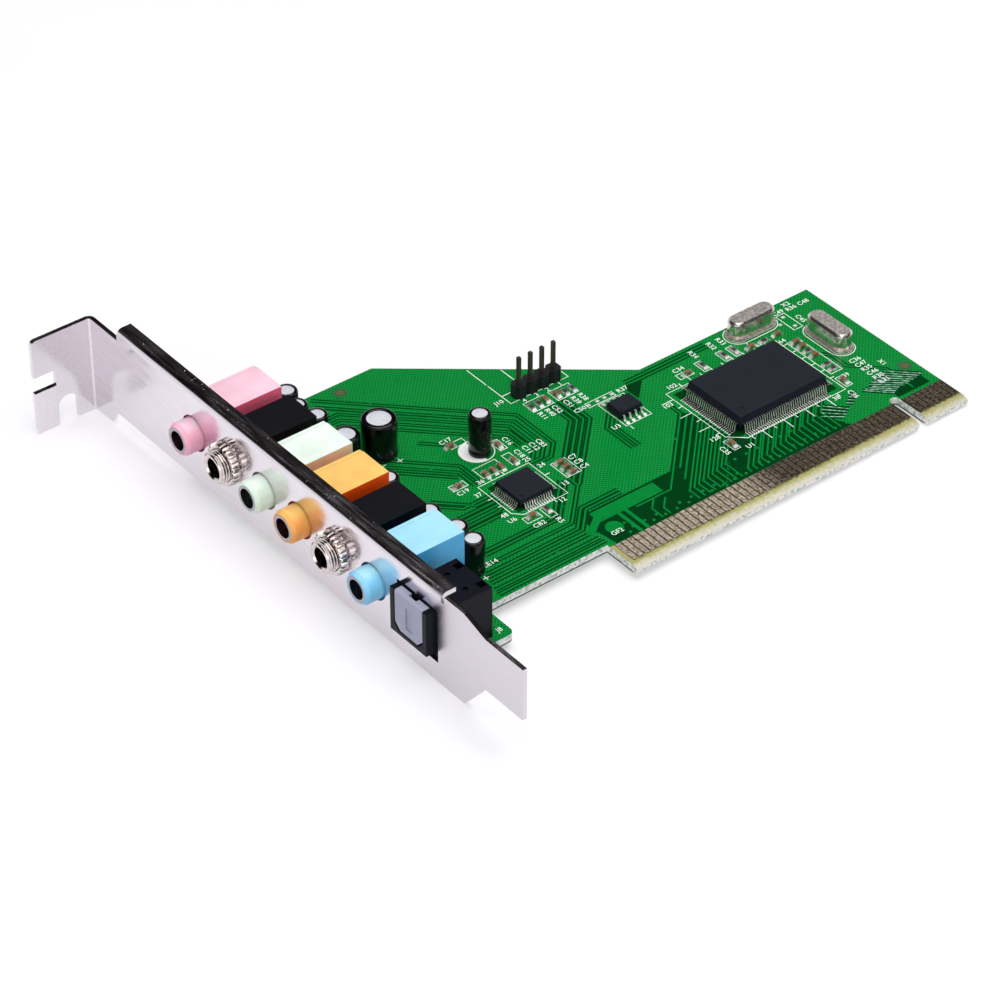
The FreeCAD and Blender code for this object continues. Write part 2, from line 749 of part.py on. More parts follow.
def lead_row(count, pitch, width, reach, height, distance):
    """A row of bent leads that leaves a case at x = distance and steps down to the board."""
    gauge = number("lead_gauge")
    shoulder = 0.2 * reach
    knee = 0.4 * reach
    profile = [
        (distance, height),
        (distance, height + gauge),
        (distance + shoulder + gauge / 2, height + gauge),
        (distance + knee + gauge / 2, gauge),
        (distance + reach, gauge),
        (distance + reach, 0),
        (distance + knee - gauge / 2, 0),
        (distance + shoulder - gauge / 2, height),
    ]
    corners = [Vector(u, -width / 2, v) for u, v in profile]
    lead = Part.Face(Part.makePolygon(corners + corners[:1])).extrude(Vector(0, width, 0))
    return [lead.translated(Vector(0, (i - (count - 1) / 2) * pitch, 0)) for i in range(count)]


def make_leads(label, sides, x, y):
    """Rows of leads around a case; each side gives its turn and the row's formulas."""
    leads = []
    spot = Vector(number(x), number(y), 0)
    for angle, count, row in sides:
        for lead in lead_row(count, *map(number, row)):
            lead.rotate(Vector(0, 0, 0), Vector(0, 0, 1), angle)
            leads.append(lead.translated(spot))
    group(label, leads)


def make_circuits():
    """The controller, the converter chip and the small memory, each with its rows of leads."""
    def fine(reach, height, distance):
        return ("fine_pitch", "fine_lead", reach, f"({height} + case_stand - lead_gauge) / 2", f"{distance} / 2")

    where = ("controller_across", "controller_along")
    make_case("controller_case", "controller_length", "controller_width", "controller_height", *where)
    long_row = fine("controller_reach", "controller_height", "controller_width")
    short_row = fine("controller_reach", "controller_height", "controller_length")
    make_leads("controller_leads", [(0, 26, short_row), (90, 38, long_row), (180, 26, short_row),
                                    (270, 38, long_row)], *where)
    where = ("codec_across", "codec_along")
    make_case("codec_case", "codec_side", "codec_side", "codec_height", *where)
    row = fine("fine_reach", "codec_height", "codec_side")
    make_leads("codec_leads", [(angle, 12, row) for angle in (0, 90, 180, 270)], *where)
    where = ("memory_across", "memory_along")
    make_case("memory_case", "memory_length", "memory_width", "memory_height", *where)
    row = ("wide_pitch", "wide_lead", "wide_reach", "(memory_height + case_stand - lead_gauge) / 2",
           "memory_width / 2")
    make_leads("memory_leads", [(90, 4, row), (270, 4, row)], *where)


def make_header():
    """The four-pin header: a base with bevelled cells, and square posts that stand in it."""
    count = int(number("header_pins"))
    base = new_body("header_base")
    half = "header_base / 2"
    near = []
    far = []
    for i in range(count):
        left = f"({i} * header_pitch - {half})"
        right = f"({i} * header_pitch + {half})"
        near += [(left, f"header_chamfer - {half}"), (f"{left} + header_chamfer", f"-{half}"),
                 (f"{right} - header_chamfer", f"-{half}")]
        far += [(left, f"{half} - header_chamfer"), (f"{left} + header_chamfer", half),
                (f"{right} - header_chamfer", half)]
    near.append((right, f"header_chamfer - {half}"))
    far.append((right, f"{half} - header_chamfer"))
    pad(base, outline(base, "XY_Plane", near + far[::-1]), "header_base")
    socket = "(header_post / 2 + metal_fit)"
    for i in range(count):
        middle = f"{i} * header_pitch"
        hole = rectangle(base, "XY_Plane", f"{middle} - {socket}", f"{middle} + {socket}",
                         f"-{socket}", socket, "header_base")
        pocket(base, hole, "header_base")
    place(base, "header_first", "header_along")
    side = number("header_post")
    height = number("header_top")
    point = number("post_point")
    posts = []
    for i in range(count):
        x = number("header_first") + i * number("header_pitch")
        post = block(side, side, height, x, number("header_along"), 0)
        tip = [edge for edge in post.Edges if all(vertex.Z > height - point for vertex in edge.Vertexes)]
        posts.append(post.makeChamfer(point, tip))
    group("header_posts", posts)


def make_crystal(name, x, y, angle):
    """A welded crystal: an oval can drawn from sheet, on a wider oval base."""
    for label, length, width, low, height in (
        (f"crystal_base_{name}", "crystal_length + 2 * crystal_flange", "crystal_width + 2 * crystal_flange",
         "0", "crystal_base"),
        (f"crystal_can_{name}", "crystal_length", "crystal_width", "crystal_base", "crystal_height - crystal_base"),
    ):
        body = new_body(label)
        half_length = f"({length}) / 2"
        half_width = f"({width}) / 2"
        oval = rectangle(body, "XY_Plane", f"-{half_length}", half_length, f"-{half_width}", half_width, low)
        pad(body, oval, height)
        round_edges(body, f"{half_width} - metal_fit",
                    lambda edge: abs(edge.tangentAt(edge.FirstParameter).z) > 0.9)
        if label.startswith("crystal_can"):
            bevel_edges(body, "crystal_bevel", lambda edge: on_line(edge, z="crystal_height"))
        body.Placement.Rotation = Rotation(Vector(0, 0, 1), angle)
        place(body, x, y)


CRYSTAL_SPOTS = (
    ("upper", f"{BOARD_RIGHT} - crystal_inset - 2.5 * crystal_width - crystal_length / 2 + 1.1",
     "shelf_top - crystal_inset", 0),
    ("right", f"{BOARD_RIGHT} - crystal_inset - crystal_width - crystal_flange",
     "shelf_top - 3 * crystal_inset - crystal_length / 2", 90),
)


def make_crystals():
    for name, x, y, angle in CRYSTAL_SPOTS:
        make_crystal(name, x, y, angle)


# Rows of chip parts: kind, across, along, count, step along the row, long side lies along Y
CONTROLLER_TOP = "controller_along + controller_width / 2 + controller_reach + chip_room + chip_length / 2"
CONTROLLER_RIGHT = "controller_across + controller_length / 2 + controller_reach + chip_room + chip_length / 2"
CODEC_TOP = "codec_along + codec_side / 2 + fine_reach + 2 * chip_room + chip_length / 2"
CODEC_FOOT = "codec_along - codec_side / 2 - fine_reach - chip_room - chip_length / 2"
CHIP_ROWS = (
    ("resistor", "header_first - 0.7", "header_along - 4.3", 2, ("chip_pitch", "0"), True),
    ("capacitor", "header_first + 2.6", "header_along - 4.1", 2, ("2.5", "0"), True),
    ("resistor", "header_first + 6.7", "header_along - 4.4", 2, ("chip_pitch", "0"), True),
    ("capacitor", "codec_across - 2.4", CODEC_TOP, 3, ("chip_pitch", "0"), True),
    ("capacitor", "codec_across + 3.7", CODEC_TOP, 1, ("0", "0"), True),
    ("capacitor", "codec_across + 4.3", "codec_along + 12.4", 1, ("0", "0"), True),
    ("capacitor", "codec_across - 2.3", "codec_along + 17.2", 1, ("0", "0"), False),
    ("capacitor", "codec_across - 8.1", "codec_along + 7.6", 1, ("0", "0"), False),
    ("capacitor", "codec_across - 3.3", CODEC_FOOT, 1, ("0", "0"), False),
    ("resistor", "codec_across - 0.2", CODEC_FOOT, 1, ("0", "0"), True),
    ("capacitor", "codec_across + codec_side / 2 + 6.0", "codec_along - 1.2", 3, ("0", "chip_pitch"), False),
    ("capacitor", "controller_across - 6.0", f"{CONTROLLER_TOP} + 1.0", 1, ("0", "0"), False),
    ("resistor", "controller_across - 2.4", f"{CONTROLLER_TOP} + 1.2", 1, ("0", "0"), True),
    ("resistor", "controller_across + 2.5", f"{CONTROLLER_TOP} + 1.2", 2, ("2.4", "0"), True),
    ("capacitor", "controller_across + 7.8", CONTROLLER_TOP, 2, ("6.2", "0"), False),
    ("resistor", "controller_across + 10.9", CONTROLLER_TOP, 1, ("0", "0"), False),
    ("capacitor", f"{CONTROLLER_RIGHT} + 1.6", "controller_along + 5.0", 2, ("0", "chip_pitch"), False),
    ("resistor", f"{CONTROLLER_RIGHT} + 1.6", "controller_along - 1.6", 2, ("0", "-chip_pitch"), False),
    ("resistor", f"{CONTROLLER_RIGHT} + 1.6", "controller_along + 3.35", 1, ("0", "0"), False),
    ("capacitor", f"{CONTROLLER_RIGHT} + 1.6", "controller_along + 1.7", 1, ("0", "0"), False),
    ("capacitor", f"{CONTROLLER_RIGHT} + 0.6", "controller_along - controller_width / 2", 1, ("0", "0"), True),
    ("capacitor", "controller_across - controller_length / 2 - controller_reach - 1.6",
     "controller_along - controller_width / 2 - controller_reach", 1, ("0", "0"), True),
)


def make_chips():
    """The chip resistors and capacitors: ceramic blocks between two plated ends."""
    length = number("chip_length")
    width = number("chip_width")
    end = number("chip_end")
    blocks = {"resistor": [], "capacitor": []}
    ends = []
    for kind, across, along, count, step, upright in CHIP_ROWS:
        gauge = number(f"{kind}_gauge")
        spot = Vector(number(across), number(along), 0)
        stride = Vector(number(step[0]), number(step[1]), 0)
        for i in range(count):
            pieces = [block(length - 2 * end, width, gauge, 0, 0, 0)]
            for sign in (-1, 1):
                pieces.append(block(end, width, gauge, sign * (length - end) / 2, 0, 0))
            for piece in pieces:
                piece.rotate(Vector(0, 0, 0), Vector(0, 0, 1), 90 if upright else 0)
                piece.translate(spot + stride * i)
            blocks[kind].append(pieces[0])
            ends += pieces[1:]
    group("chip_resistors", blocks["resistor"])
    group("chip_capacitors", blocks["capacitor"])
    group("chip_ends", ends)


def make_lead_ends():
    """The clipped ends of the through-hole leads, standing out of the board's solder side."""
    spots = []
    for i in range(len(JACKS)):
        y = number(f"jack_first + {i} * jack_pitch")
        front = number(JACK_FRONT)
        back = number("jack_back")
        reach = number("jack_width / 2 - 2 * stub_side")
        spots += [((front + back) / 2, y - reach), ((front + back) / 2, y + reach), (back - 1, y)]
    for x, y, radius, _ in CANS:
        for sign in ("-", "+"):
            spots.append((number(f"{x} {sign} {radius} / 2"), number(y)))
    for i in range(int(number("header_pins"))):
        spots.append((number(f"header_first + {i} * header_pitch"), number("header_along")))
    for _, x, y, angle in CRYSTAL_SPOTS:
        for sign in (-1, 1):
            step = Rotation(Vector(0, 0, 1), angle).multVec(Vector(sign * number("crystal_length / 4"), 0, 0))
            spots.append((number(x) + step.x, number(y) + step.y))
    for sign in ("-", "+"):
        spots.append((number("optical_back - top_recess"), number(f"optical_middle {sign} optical_width / 4")))
    side = number("stub_side")
    length = number("stub_length")
    floor = number("-board_gauge - stub_length")
    group("lead_ends", [block(side, side, length, x, y, floor) for x, y in spots])


make_bracket()
make_board()
make_edge_contacts()
make_jacks()
make_optical_housing()
make_optical_shutter()
make_shutter_hinge()
make_emitter()
make_capacitors()
make_circuits()
make_header()
make_crystals()
make_chips()
make_lead_ends()
doc.recompute()

for item in doc.Objects:
    if {"Invalid", "Error"} & set(item.State):
        raise RuntimeError(f"{item.Label} did not rebuild: {item.State}")
for piece in sub_parts:
    if piece.Shape.isNull() or not piece.Shape.isValid():
        raise RuntimeError(f"{piece.Label} has no valid shape")

os.makedirs("parts", exist_ok=True)
for piece in sub_parts:
    piece.Shape.exportStep(f"parts/{piece.Label}.step")
print(len(sub_parts), "sub-parts written")
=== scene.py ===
import math

import bpy
from mathutils import Matrix, Vector


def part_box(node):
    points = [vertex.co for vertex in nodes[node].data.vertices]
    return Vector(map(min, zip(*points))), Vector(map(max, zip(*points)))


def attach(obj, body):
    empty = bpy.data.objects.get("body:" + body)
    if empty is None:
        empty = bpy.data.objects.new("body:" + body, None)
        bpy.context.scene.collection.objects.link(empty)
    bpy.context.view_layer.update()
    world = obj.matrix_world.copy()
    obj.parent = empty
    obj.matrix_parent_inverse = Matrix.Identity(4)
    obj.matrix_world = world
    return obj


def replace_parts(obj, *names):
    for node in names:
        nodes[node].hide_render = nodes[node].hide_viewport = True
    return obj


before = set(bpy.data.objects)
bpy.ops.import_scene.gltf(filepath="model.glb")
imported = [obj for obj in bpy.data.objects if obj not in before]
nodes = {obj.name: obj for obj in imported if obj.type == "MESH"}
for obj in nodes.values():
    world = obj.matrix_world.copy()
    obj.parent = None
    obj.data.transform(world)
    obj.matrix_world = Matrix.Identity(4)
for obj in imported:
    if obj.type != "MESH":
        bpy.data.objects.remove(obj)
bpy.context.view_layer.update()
bpy.ops.object.select_all(action="DESELECT")

# Bracket: mild steel sheet, blanked and folded cold, then plated with bright nickel.
# The plating is nearly a mirror: the press leaves it a little wavy, and handling rubs fine marks along it.
# Painted shade darkens its sheared walls that slant one way and its colour towards the foot; dust lies on it,
# and the handled foot is duller.
MM = 0.001
# the card's axes start at the bracket's face, the tongue's tip and the board's top, in millimetres
CARD_ORIGIN = (51.775, 60.01, -6.16)  # the frame's origin in the card's axes


def at(x, y, z=0.0):
    """A point of the card's axes, given in millimetres, as metres in the frame."""
    return (Vector((x, y, z)) - Vector(CARD_ORIGIN)) * MM


def linear(code):
    """An sRGB hex colour as linear light."""
    values = [int(code[i:i + 2], 16) / 255 for i in (1, 3, 5)]
    return (*[v / 12.92 if v < 0.04045 else ((v + 0.055) / 1.055) ** 2.4 for v in values], 1.0)


def add_node(tree, kind, sockets=None, feeds=None, **settings):
    """Add one shader node: set its options, fill its sockets with values or nodes, and feed a socket."""
    made = tree.nodes.new("ShaderNode" + kind)
    for name, value in settings.items():
        setattr(made, name, value)
    for name, value in (sockets or {}).items():
        if isinstance(value, bpy.types.Node):
            value = next(out for out in value.outputs if out.enabled)
        if isinstance(value, bpy.types.NodeSocket):
            tree.links.new(value, made.inputs[name])
        else:
            made.inputs[name].default_value = value
    if feeds:
        tree.links.new(next(out for out in made.outputs if out.enabled), feeds)
    return made


def start_material(name, sockets):
    """A new material, its tree, its surface shader, and the surface's place in card millimetres."""
    material = bpy.data.materials.new(name)
    material.use_nodes = True
    tree = material.node_tree
    surface = tree.nodes["Principled BSDF"]
    for socket, value in sockets.items():
        surface.inputs[socket].default_value = value
    spot = add_node(tree, "TexCoord").outputs["Object"]
    place = add_node(tree, "VectorMath", {0: spot, 1: (1 / MM,) * 3, 2: CARD_ORIGIN},
                     operation="MULTIPLY_ADD")
    return material, tree, surface, place


def dress(material, *names):
    """Give CAD nodes a material."""
    for name in names:
        nodes[name].material_slots[0].material = material


nickel, tree, surface, place = start_material("bright_nickel_on_steel", {"Metallic": 1.0})
axes = add_node(tree, "SeparateXYZ", {"Vector": place})
facing = add_node(tree, "SeparateXYZ", {"Vector": tree.nodes["Texture Coordinate"].outputs["Normal"]})
along = add_node(tree, "Mapping", {"Vector": place, "Scale": (2.0, 0.15, 2.0)})
rub = add_node(tree, "TexNoise", {"Vector": along, "Scale": 1.0, "Detail": 4.0})
bright = add_node(tree, "Mix", {"Factor": rub, "A": linear("#d9d2d7"), "B": linear("#ede9ee")},
                  data_type="RGBA")
# painted shade: the plate's colour is painted darker towards the foot
painted_foot_shade = add_node(tree, "MapRange",
                   {"Value": axes.outputs["Y"], "From Min": 27.0, "From Max": 20.0, "To Max": 0.3})
bright = add_node(tree, "Mix", {"Factor": painted_foot_shade, "A": bright, "B": linear("#bdb8c0")}, data_type="RGBA")
# painted shade: sheared walls slanting one way are painted near black
slant = add_node(tree, "Math", {0: facing.outputs["Y"], 1: facing.outputs["Z"]}, operation="MULTIPLY")
painted_shade_faces = add_node(tree, "Math", {0: slant, 1: -0.15}, operation="LESS_THAN")
add_node(tree, "Mix", {"Factor": painted_shade_faces, "A": bright, "B": linear("#171516")}, surface.inputs["Base Color"],
         data_type="RGBA")
polish = add_node(tree, "MapRange",
                  {"Value": rub, "From Min": 0.3, "From Max": 0.7, "To Min": 0.1, "To Max": 0.23})
foot = add_node(tree, "MapRange",
                {"Value": axes.outputs["Y"], "From Min": 24.5, "From Max": 22.5, "To Max": 0.45})
upright = add_node(tree, "Math", {0: facing.outputs["Z"], 1: 0.8}, operation="LESS_THAN")
matt = add_node(tree, "Math", {0: foot, 1: upright}, operation="MULTIPLY")
grit = add_node(tree, "TexNoise", {"Vector": place, "Scale": 1.8, "Detail": 3.0})
dust = add_node(tree, "Math", {0: grit, 1: 0.72}, operation="GREATER_THAN")
dull = add_node(tree, "Math", {0: dust, 1: matt}, operation="MAXIMUM")
dull = add_node(tree, "Math", {0: painted_shade_faces, 1: dull}, operation="MAXIMUM")
add_node(tree, "Math", {0: dull, 1: 0.4, 2: polish}, surface.inputs["Roughness"], operation="MULTIPLY_ADD")
wave = add_node(tree, "TexNoise", {"Vector": place, "Scale": 1 / 9, "Detail": 1.0})
add_node(tree, "Bump", {"Height": wave, "Distance": 0.06 * MM}, surface.inputs["Normal"])
dress(nickel, "bracket")

# Board: glass fibre laminate, etched and routed, under a green solder mask over a hatched copper pour.
# The mask is glossy and shows the hatch as a fine 45 degree net. The cut edges are bare pale laminate,
# and so is the tongue round its contacts, with a yellowish band and then dark mask above them.
mask, tree, surface, place = start_material("solder_mask_over_hatched_copper",
                                            {"IOR": 1.5, "Specular IOR Level": 0.3})
turned = add_node(tree, "Mapping", {"Vector": place, "Rotation": (0, 0, math.radians(45))})
# the real net has a pitch near 0.4 mm; 0.55 mm is the finest that still shows
net = add_node(tree, "TexBrick",
               {"Vector": turned, "Scale": 1.0, "Brick Width": 0.55, "Row Height": 0.55, "Mortar Size": 0.13,
                "Mortar Smooth": 0.3, "Color1": linear("#015a1f"), "Color2": linear("#026023"),
                "Mortar": linear("#04923c")}, offset=0.0)
cloud = add_node(tree, "TexNoise", {"Vector": place, "Scale": 1 / 14, "Detail": 2.0})
depth = add_node(tree, "MapRange", {"Value": cloud, "From Min": 0.3, "From Max": 0.7, "To Max": 0.3})
green = add_node(tree, "Mix", {"Factor": depth, "A": net, "B": linear("#02762f")}, data_type="RGBA")
fibre = add_node(tree, "TexNoise", {"Vector": place, "Scale": 1.4, "Detail": 4.0})
weave = add_node(tree, "MapRange", {"Value": fibre, "From Min": 0.35, "From Max": 0.55})
bare = add_node(tree, "Mix", {"Factor": weave, "A": linear("#aebfb2"), "B": linear("#fcfbf7")},
                data_type="RGBA")
axes = add_node(tree, "SeparateXYZ", {"Vector": place})
# painted shadow: the lowest band of the cut edges is dark, for the shadow under the board, over the far
# mask's thin edge
painted_underside_shadow = add_node(tree, "Math", {0: axes.outputs["Z"], 1: -1.3}, operation="LESS_THAN")
bare = add_node(tree, "Mix", {"Factor": painted_underside_shadow, "A": bare, "B": linear("#12402a")}, data_type="RGBA")
patchy = add_node(tree, "Math", {0: fibre, 1: 1.6, 2: axes.outputs["Y"]}, operation="MULTIPLY_ADD")
strip = add_node(tree, "MapRange", {"Value": patchy, "From Min": 21.9, "From Max": 22.9})
tongue = add_node(tree, "Mix", {"Factor": strip, "A": linear("#c6c2b2"), "B": linear("#a8a46c")},
                  data_type="RGBA")
inner = add_node(tree, "Math", {0: axes.outputs["X"], 1: 41.5}, operation="GREATER_THAN")
strip = add_node(tree, "MapRange", {"Value": patchy, "From Min": 23.2, "From Max": 23.9, "To Max": inner})
tongue = add_node(tree, "Mix", {"Factor": strip, "A": tongue, "B": linear("#2d3016")}, data_type="RGBA")
below = add_node(tree, "Math", {0: axes.outputs["Y"], 1: 27.7}, operation="LESS_THAN")
beyond = add_node(tree, "Math", {0: axes.outputs["X"], 1: 40.0}, operation="GREATER_THAN")
on_tongue = add_node(tree, "Math", {0: below, 1: beyond}, operation="MULTIPLY")
flat = add_node(tree, "Mix", {"Factor": on_tongue, "A": green, "B": tongue}, data_type="RGBA")
facing = add_node(tree, "SeparateXYZ", {"Vector": tree.nodes["Texture Coordinate"].outputs["Normal"]})
tilt = add_node(tree, "Math", {0: facing.outputs["Z"]}, operation="ABSOLUTE")
edge = add_node(tree, "Math", {0: tilt, 1: 0.9}, operation="LESS_THAN")
add_node(tree, "Mix", {"Factor": edge, "A": flat, "B": bare}, surface.inputs["Base Color"], data_type="RGBA")
add_node(tree, "MapRange", {"Value": edge, "To Min": 0.13, "To Max": 0.75}, surface.inputs["Roughness"])
add_node(tree, "Bump", {"Height": net.outputs["Fac"], "Distance": 0.012 * MM}, surface.inputs["Normal"])
dress(mask, "pcb")

# Slot contacts: copper fingers left bare of mask, plated with nickel and hard gold on both faces.
# The gold runs pale at one end of the row and brown at the other.
gold, tree, surface, place = start_material("gold_on_nickel_pale_to_brown", {"Metallic": 1.0})
axes = add_node(tree, "SeparateXYZ", {"Vector": place})
along_row = add_node(tree, "MapRange", {"Value": axes.outputs["X"], "From Min": 68.0, "From Max": 75.5})
grains = add_node(tree, "TexNoise", {"Vector": place, "Scale": 2.2, "Detail": 5.0})
speck = add_node(tree, "MapRange", {"Value": grains, "From Min": 0.35, "From Max": 0.65})
pale = add_node(tree, "Mix", {"Factor": speck, "A": linear("#98897a"), "B": linear("#d3c5b3")},
                data_type="RGBA")
brown = add_node(tree, "Mix", {"Factor": speck, "A": linear("#30271f"), "B": linear("#7a6e60")},
                 data_type="RGBA")
add_node(tree, "Mix", {"Factor": along_row, "A": pale, "B": brown}, surface.inputs["Base Color"],
         data_type="RGBA")
add_node(tree, "MapRange", {"Value": speck, "To Min": 0.3, "To Max": 0.6}, surface.inputs["Roughness"])
add_node(tree, "Bump", {"Height": speck, "Distance": 0.02 * MM}, surface.inputs["Normal"])
dress(gold, "edge_contacts")

# Bare gaps and solid copper under the mask: where copper is etched away the mask looks dark,
# and over solid copper it looks light. Each area is a thin step in the mask, so it is laid as a thin sheet.
# The dark areas under the chips' leads are not etched gaps: they are painted shade between the leads.


def mottled(name, sockets, low, high, grains, detail, rough=None, relief=None):
    """A material whose tone runs from low to high with a noise of so many grains per millimetre.

    With the same noise its roughness runs over a range, and its relief stands that many millimetres high.
    """
    material, tree, surface, place = start_material(name, sockets)
    noise = add_node(tree, "TexNoise", {"Vector": place, "Scale": grains, "Detail": detail})
    add_node(tree, "Mix", {"Factor": noise, "A": linear(low), "B": linear(high)},
             surface.inputs["Base Color"], data_type="RGBA")
    if rough:
        add_node(tree, "MapRange", {"Value": noise, "To Min": rough[0], "To Max": rough[1]},
                 surface.inputs["Roughness"])
    if relief:
        add_node(tree, "Bump", {"Height": noise, "Distance": relief * MM}, surface.inputs["Normal"])
    return material


def pick(*pieces):
    """Select these pieces and nothing else, the first of them active."""
    bpy.ops.object.select_all(action="DESELECT")
    for piece in pieces:
        piece.select_set(True)
    if pieces:
        bpy.context.view_layer.objects.active = pieces[0]


def hold(piece, name, material):
    """Name a finished mesh, put its place into it, give it its material, and let it ride on the card."""
    pick(piece)
    bpy.ops.object.transform_apply(location=True, rotation=True, scale=True)
    piece.name = piece.data.name = name
    if material:
        piece.data.materials.clear()
        piece.data.materials.append(material)
    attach(piece, "card")
    piece.select_set(False)
    return piece


def as_mesh(curve):
    """An object of a curve or text, converted to a mesh."""
    piece = bpy.data.objects.new("drawn", curve)
    bpy.context.collection.objects.link(piece)
    pick(piece)
    bpy.ops.object.convert(target="MESH")
    return bpy.context.object


def draw(kind, routes, closed=False):
    """A curve through each route of card points, in plan."""
    curve = bpy.data.curves.new("drawn", "CURVE")
    curve.dimensions = kind
    for route in routes:
        spline = curve.splines.new("POLY")
        spline.points.add(len(route) - 1)
        spline.use_cyclic_u = closed
        for point, (x, y) in zip(spline.points, route):
            point.co = (*at(x, y), 1.0)
    return curve


def ribbons(routes, width, rise, closed=False):
    """Flat raised lines of that width along the routes, as etched tracks or printed lines lie on a board."""
    section = bpy.data.curves.new("section", "CURVE")
    section.dimensions = "2D"
    spline = section.splines.new("POLY")
    spline.points.add(3)
    half, lean = width / 2, width / 4
    profile = ((-half, 0), (lean - half, rise), (half - lean, rise), (half, 0))
    for point, (x, y) in zip(spline.points, profile):
        point.co = (x * MM, y * MM, 0, 1)
    form = bpy.data.objects.new("section", section)
    bpy.context.collection.objects.link(form)
    curve = draw("3D", routes, closed)
    curve.twist_mode = "Z_UP"
    curve.bevel_mode = "OBJECT"
    curve.bevel_object = form
    piece = as_mesh(curve)
    bpy.data.objects.remove(form)
    return piece


def sheets(outlines, rise):
    """Flat closed areas with these outlines, standing that far off the board."""
    curve = draw("2D", outlines, True)
    for spline in curve.splines:
        for point in spline.points:
            point.co.z = 0
    curve.fill_mode = "BOTH"
    curve.extrude = rise / 2 * MM
    piece = as_mesh(curve)
    piece.location = (0, 0, at(0, 0, rise / 2).z)
    return piece


def oblong(x0, y0, x1, y1):
    """The corners of a rectangle in plan."""
    return [(x0, y0), (x1, y0), (x1, y1), (x0, y1)]


def ring(x, y, radius, sides=40, start=0.0, sweep=360.0):
    """Points round a circle, or along an arc of it."""
    turns = [math.radians(start + sweep * i / sides) for i in range(sides + (sweep < 360))]
    return [(x + radius * math.cos(t), y + radius * math.sin(t)) for t in turns]


dark_mask = mottled("solder_mask_over_laminate", {"IOR": 1.5, "Roughness": 0.14, "Specular IOR Level": 0.3},
                    "#013312", "#02411a", grains=2.0, detail=3.0)
light_mask = mottled("solder_mask_over_solid_copper", {"IOR": 1.5, "Specular IOR Level": 0.3}, "#04772f",
                     "#078a3c", grains=0.6, detail=3.0, rough=(0.12, 0.22))
DARK_AREAS = [
    [(42.2, 27.75), (66.0, 27.75), (71.0, 33.3), (71.0, 36.6), (68.5, 37.1), (43.3, 37.1), (41.5, 35.0),
     (41.5, 33.0)],
    [(66.5, 27.75), (94.5, 27.75), (93.0, 31.0), (93.0, 35.6), (78.2, 35.6), (75.6, 38.2), (75.2, 47.2),
     (73.6, 48.5), (62.3, 37.15), (68.5, 37.15), (71.2, 36.7), (71.2, 32.8)],
    # painted shade: the oblongs under the controller's and the codec's leads stand for the shade between the
    # leads
    [(71.3, 60.4), (74.8, 60.0), (70.8, 56.1), (70.6, 59.0)], oblong(76.2, 37.0, 99.6, 53.2),
    oblong(34.6, 44.2, 43.4, 52.6), oblong(106.2, 28.45, 113.6, 31.0)]
LIGHT_AREAS = [
    [(43.5, 35.4), (39.6, 32.6), (40.5, 31.6), (43.5, 33.75), (47.2, 33.75), (47.2, 27.8), (47.9, 27.8),
     (47.9, 33.75), (48.7, 33.75), (48.7, 27.8), (49.4, 27.8), (49.4, 33.75), (57.25, 33.75), (57.25, 36.6),
     (43.5, 36.6)],
    ring(44.6, 31.3, 1.6)]
hold(sheets(DARK_AREAS, 0.012), "etched_areas_and_painted_lead_shade", dark_mask)
hold(sheets(LIGHT_AREAS, 0.035), "solid_areas", light_mask)

# Tracks: etched copper lines under the mask, each with an etched gap on both sides.
# Through the mask the copper stands up as a light line between two dark ones.
TRACKS = [
    [(26.0, 90.75), (51.25, 65.5), (51.25, 55.5), (48.5, 52.75), (44.6, 52.75)],
    [(25.2, 88.9), (49.75, 64.4), (49.75, 56.2), (47.0, 53.5), (44.6, 53.5)],
    [(24.75, 84.75), (27.25, 84.75), (48.25, 63.75), (48.25, 56.8), (45.0, 53.6)],
    [(24.75, 83.25), (26.5, 83.25), (47.25, 62.5), (47.25, 58.4)],
    [(24.75, 81.75), (25.75, 81.75), (46.0, 61.5), (46.0, 58.4)], [(33.0, 69.75), (37.3, 65.45)],
    [(24.75, 70.25), (34.75, 60.25), (34.75, 54.5)], [(24.75, 67.75), (33.5, 59.0), (33.5, 54.5)],
    [(24.75, 65.75), (32.6, 57.9)], [(24.75, 55.5), (30.25, 50.0), (34.0, 50.0)],
    [(24.75, 54.0), (28.0, 50.75), (34.0, 50.75)], [(24.0, 49.0), (34.0, 49.0)], [(24.0, 48.0), (34.0, 48.0)],
    [(24.75, 46.5), (32.2, 46.5), (33.7, 47.2)], [(24.75, 45.5), (32.6, 45.5)],
    [(23.6, 39.6), (38.5, 39.6), (45.6, 46.7)], [(23.2, 38.75), (39.0, 38.75), (46.2, 46.0)],
    [(22.0, 36.5), (39.75, 36.5), (47.0, 43.75), (47.0, 46.3)],
    [(20.5, 34.75), (39.5, 34.75), (43.5, 38.75), (51.5, 38.75)],
    [(20.0, 34.0), (40.0, 34.0), (43.9, 37.9), (51.5, 37.9)], [(19.5, 32.5), (41.5, 32.5)],
    [(19.0, 30.75), (41.0, 30.75)], [(18.6, 29.5), (41.25, 29.5)], [(57.5, 64.0), (57.5, 58.5), (49.5, 50.5)],
    [(58.5, 64.0), (58.5, 58.0), (50.2, 49.7)], [(59.5, 64.0), (59.5, 57.5), (47.0, 45.0)],
    [(60.5, 64.0), (60.5, 57.0), (47.3, 43.8)], [(61.0, 45.9), (61.0, 53.0), (64.0, 56.0)],
    [(62.25, 45.9), (62.25, 52.2), (64.2, 54.15)],
    [(51.0, 33.25), (58.5, 33.25), (73.6, 48.35), (73.6, 51.0)], [(74.4, 47.6), (63.6, 36.8)],
    [(75.0, 46.7), (62.2, 33.9)], [(52.7, 28.4), (52.7, 31.2), (54.6, 33.1)],
    [(54.4, 28.4), (54.4, 30.2), (56.4, 32.2)], [(71.7, 61.2), (90.0, 61.2)], [(72.6, 60.4), (90.0, 60.4)],
    [(105.4, 40.9), (105.4, 45.0), (104.2, 46.2)], [(110.2, 29.0), (110.2, 36.0), (105.0, 41.2)]]
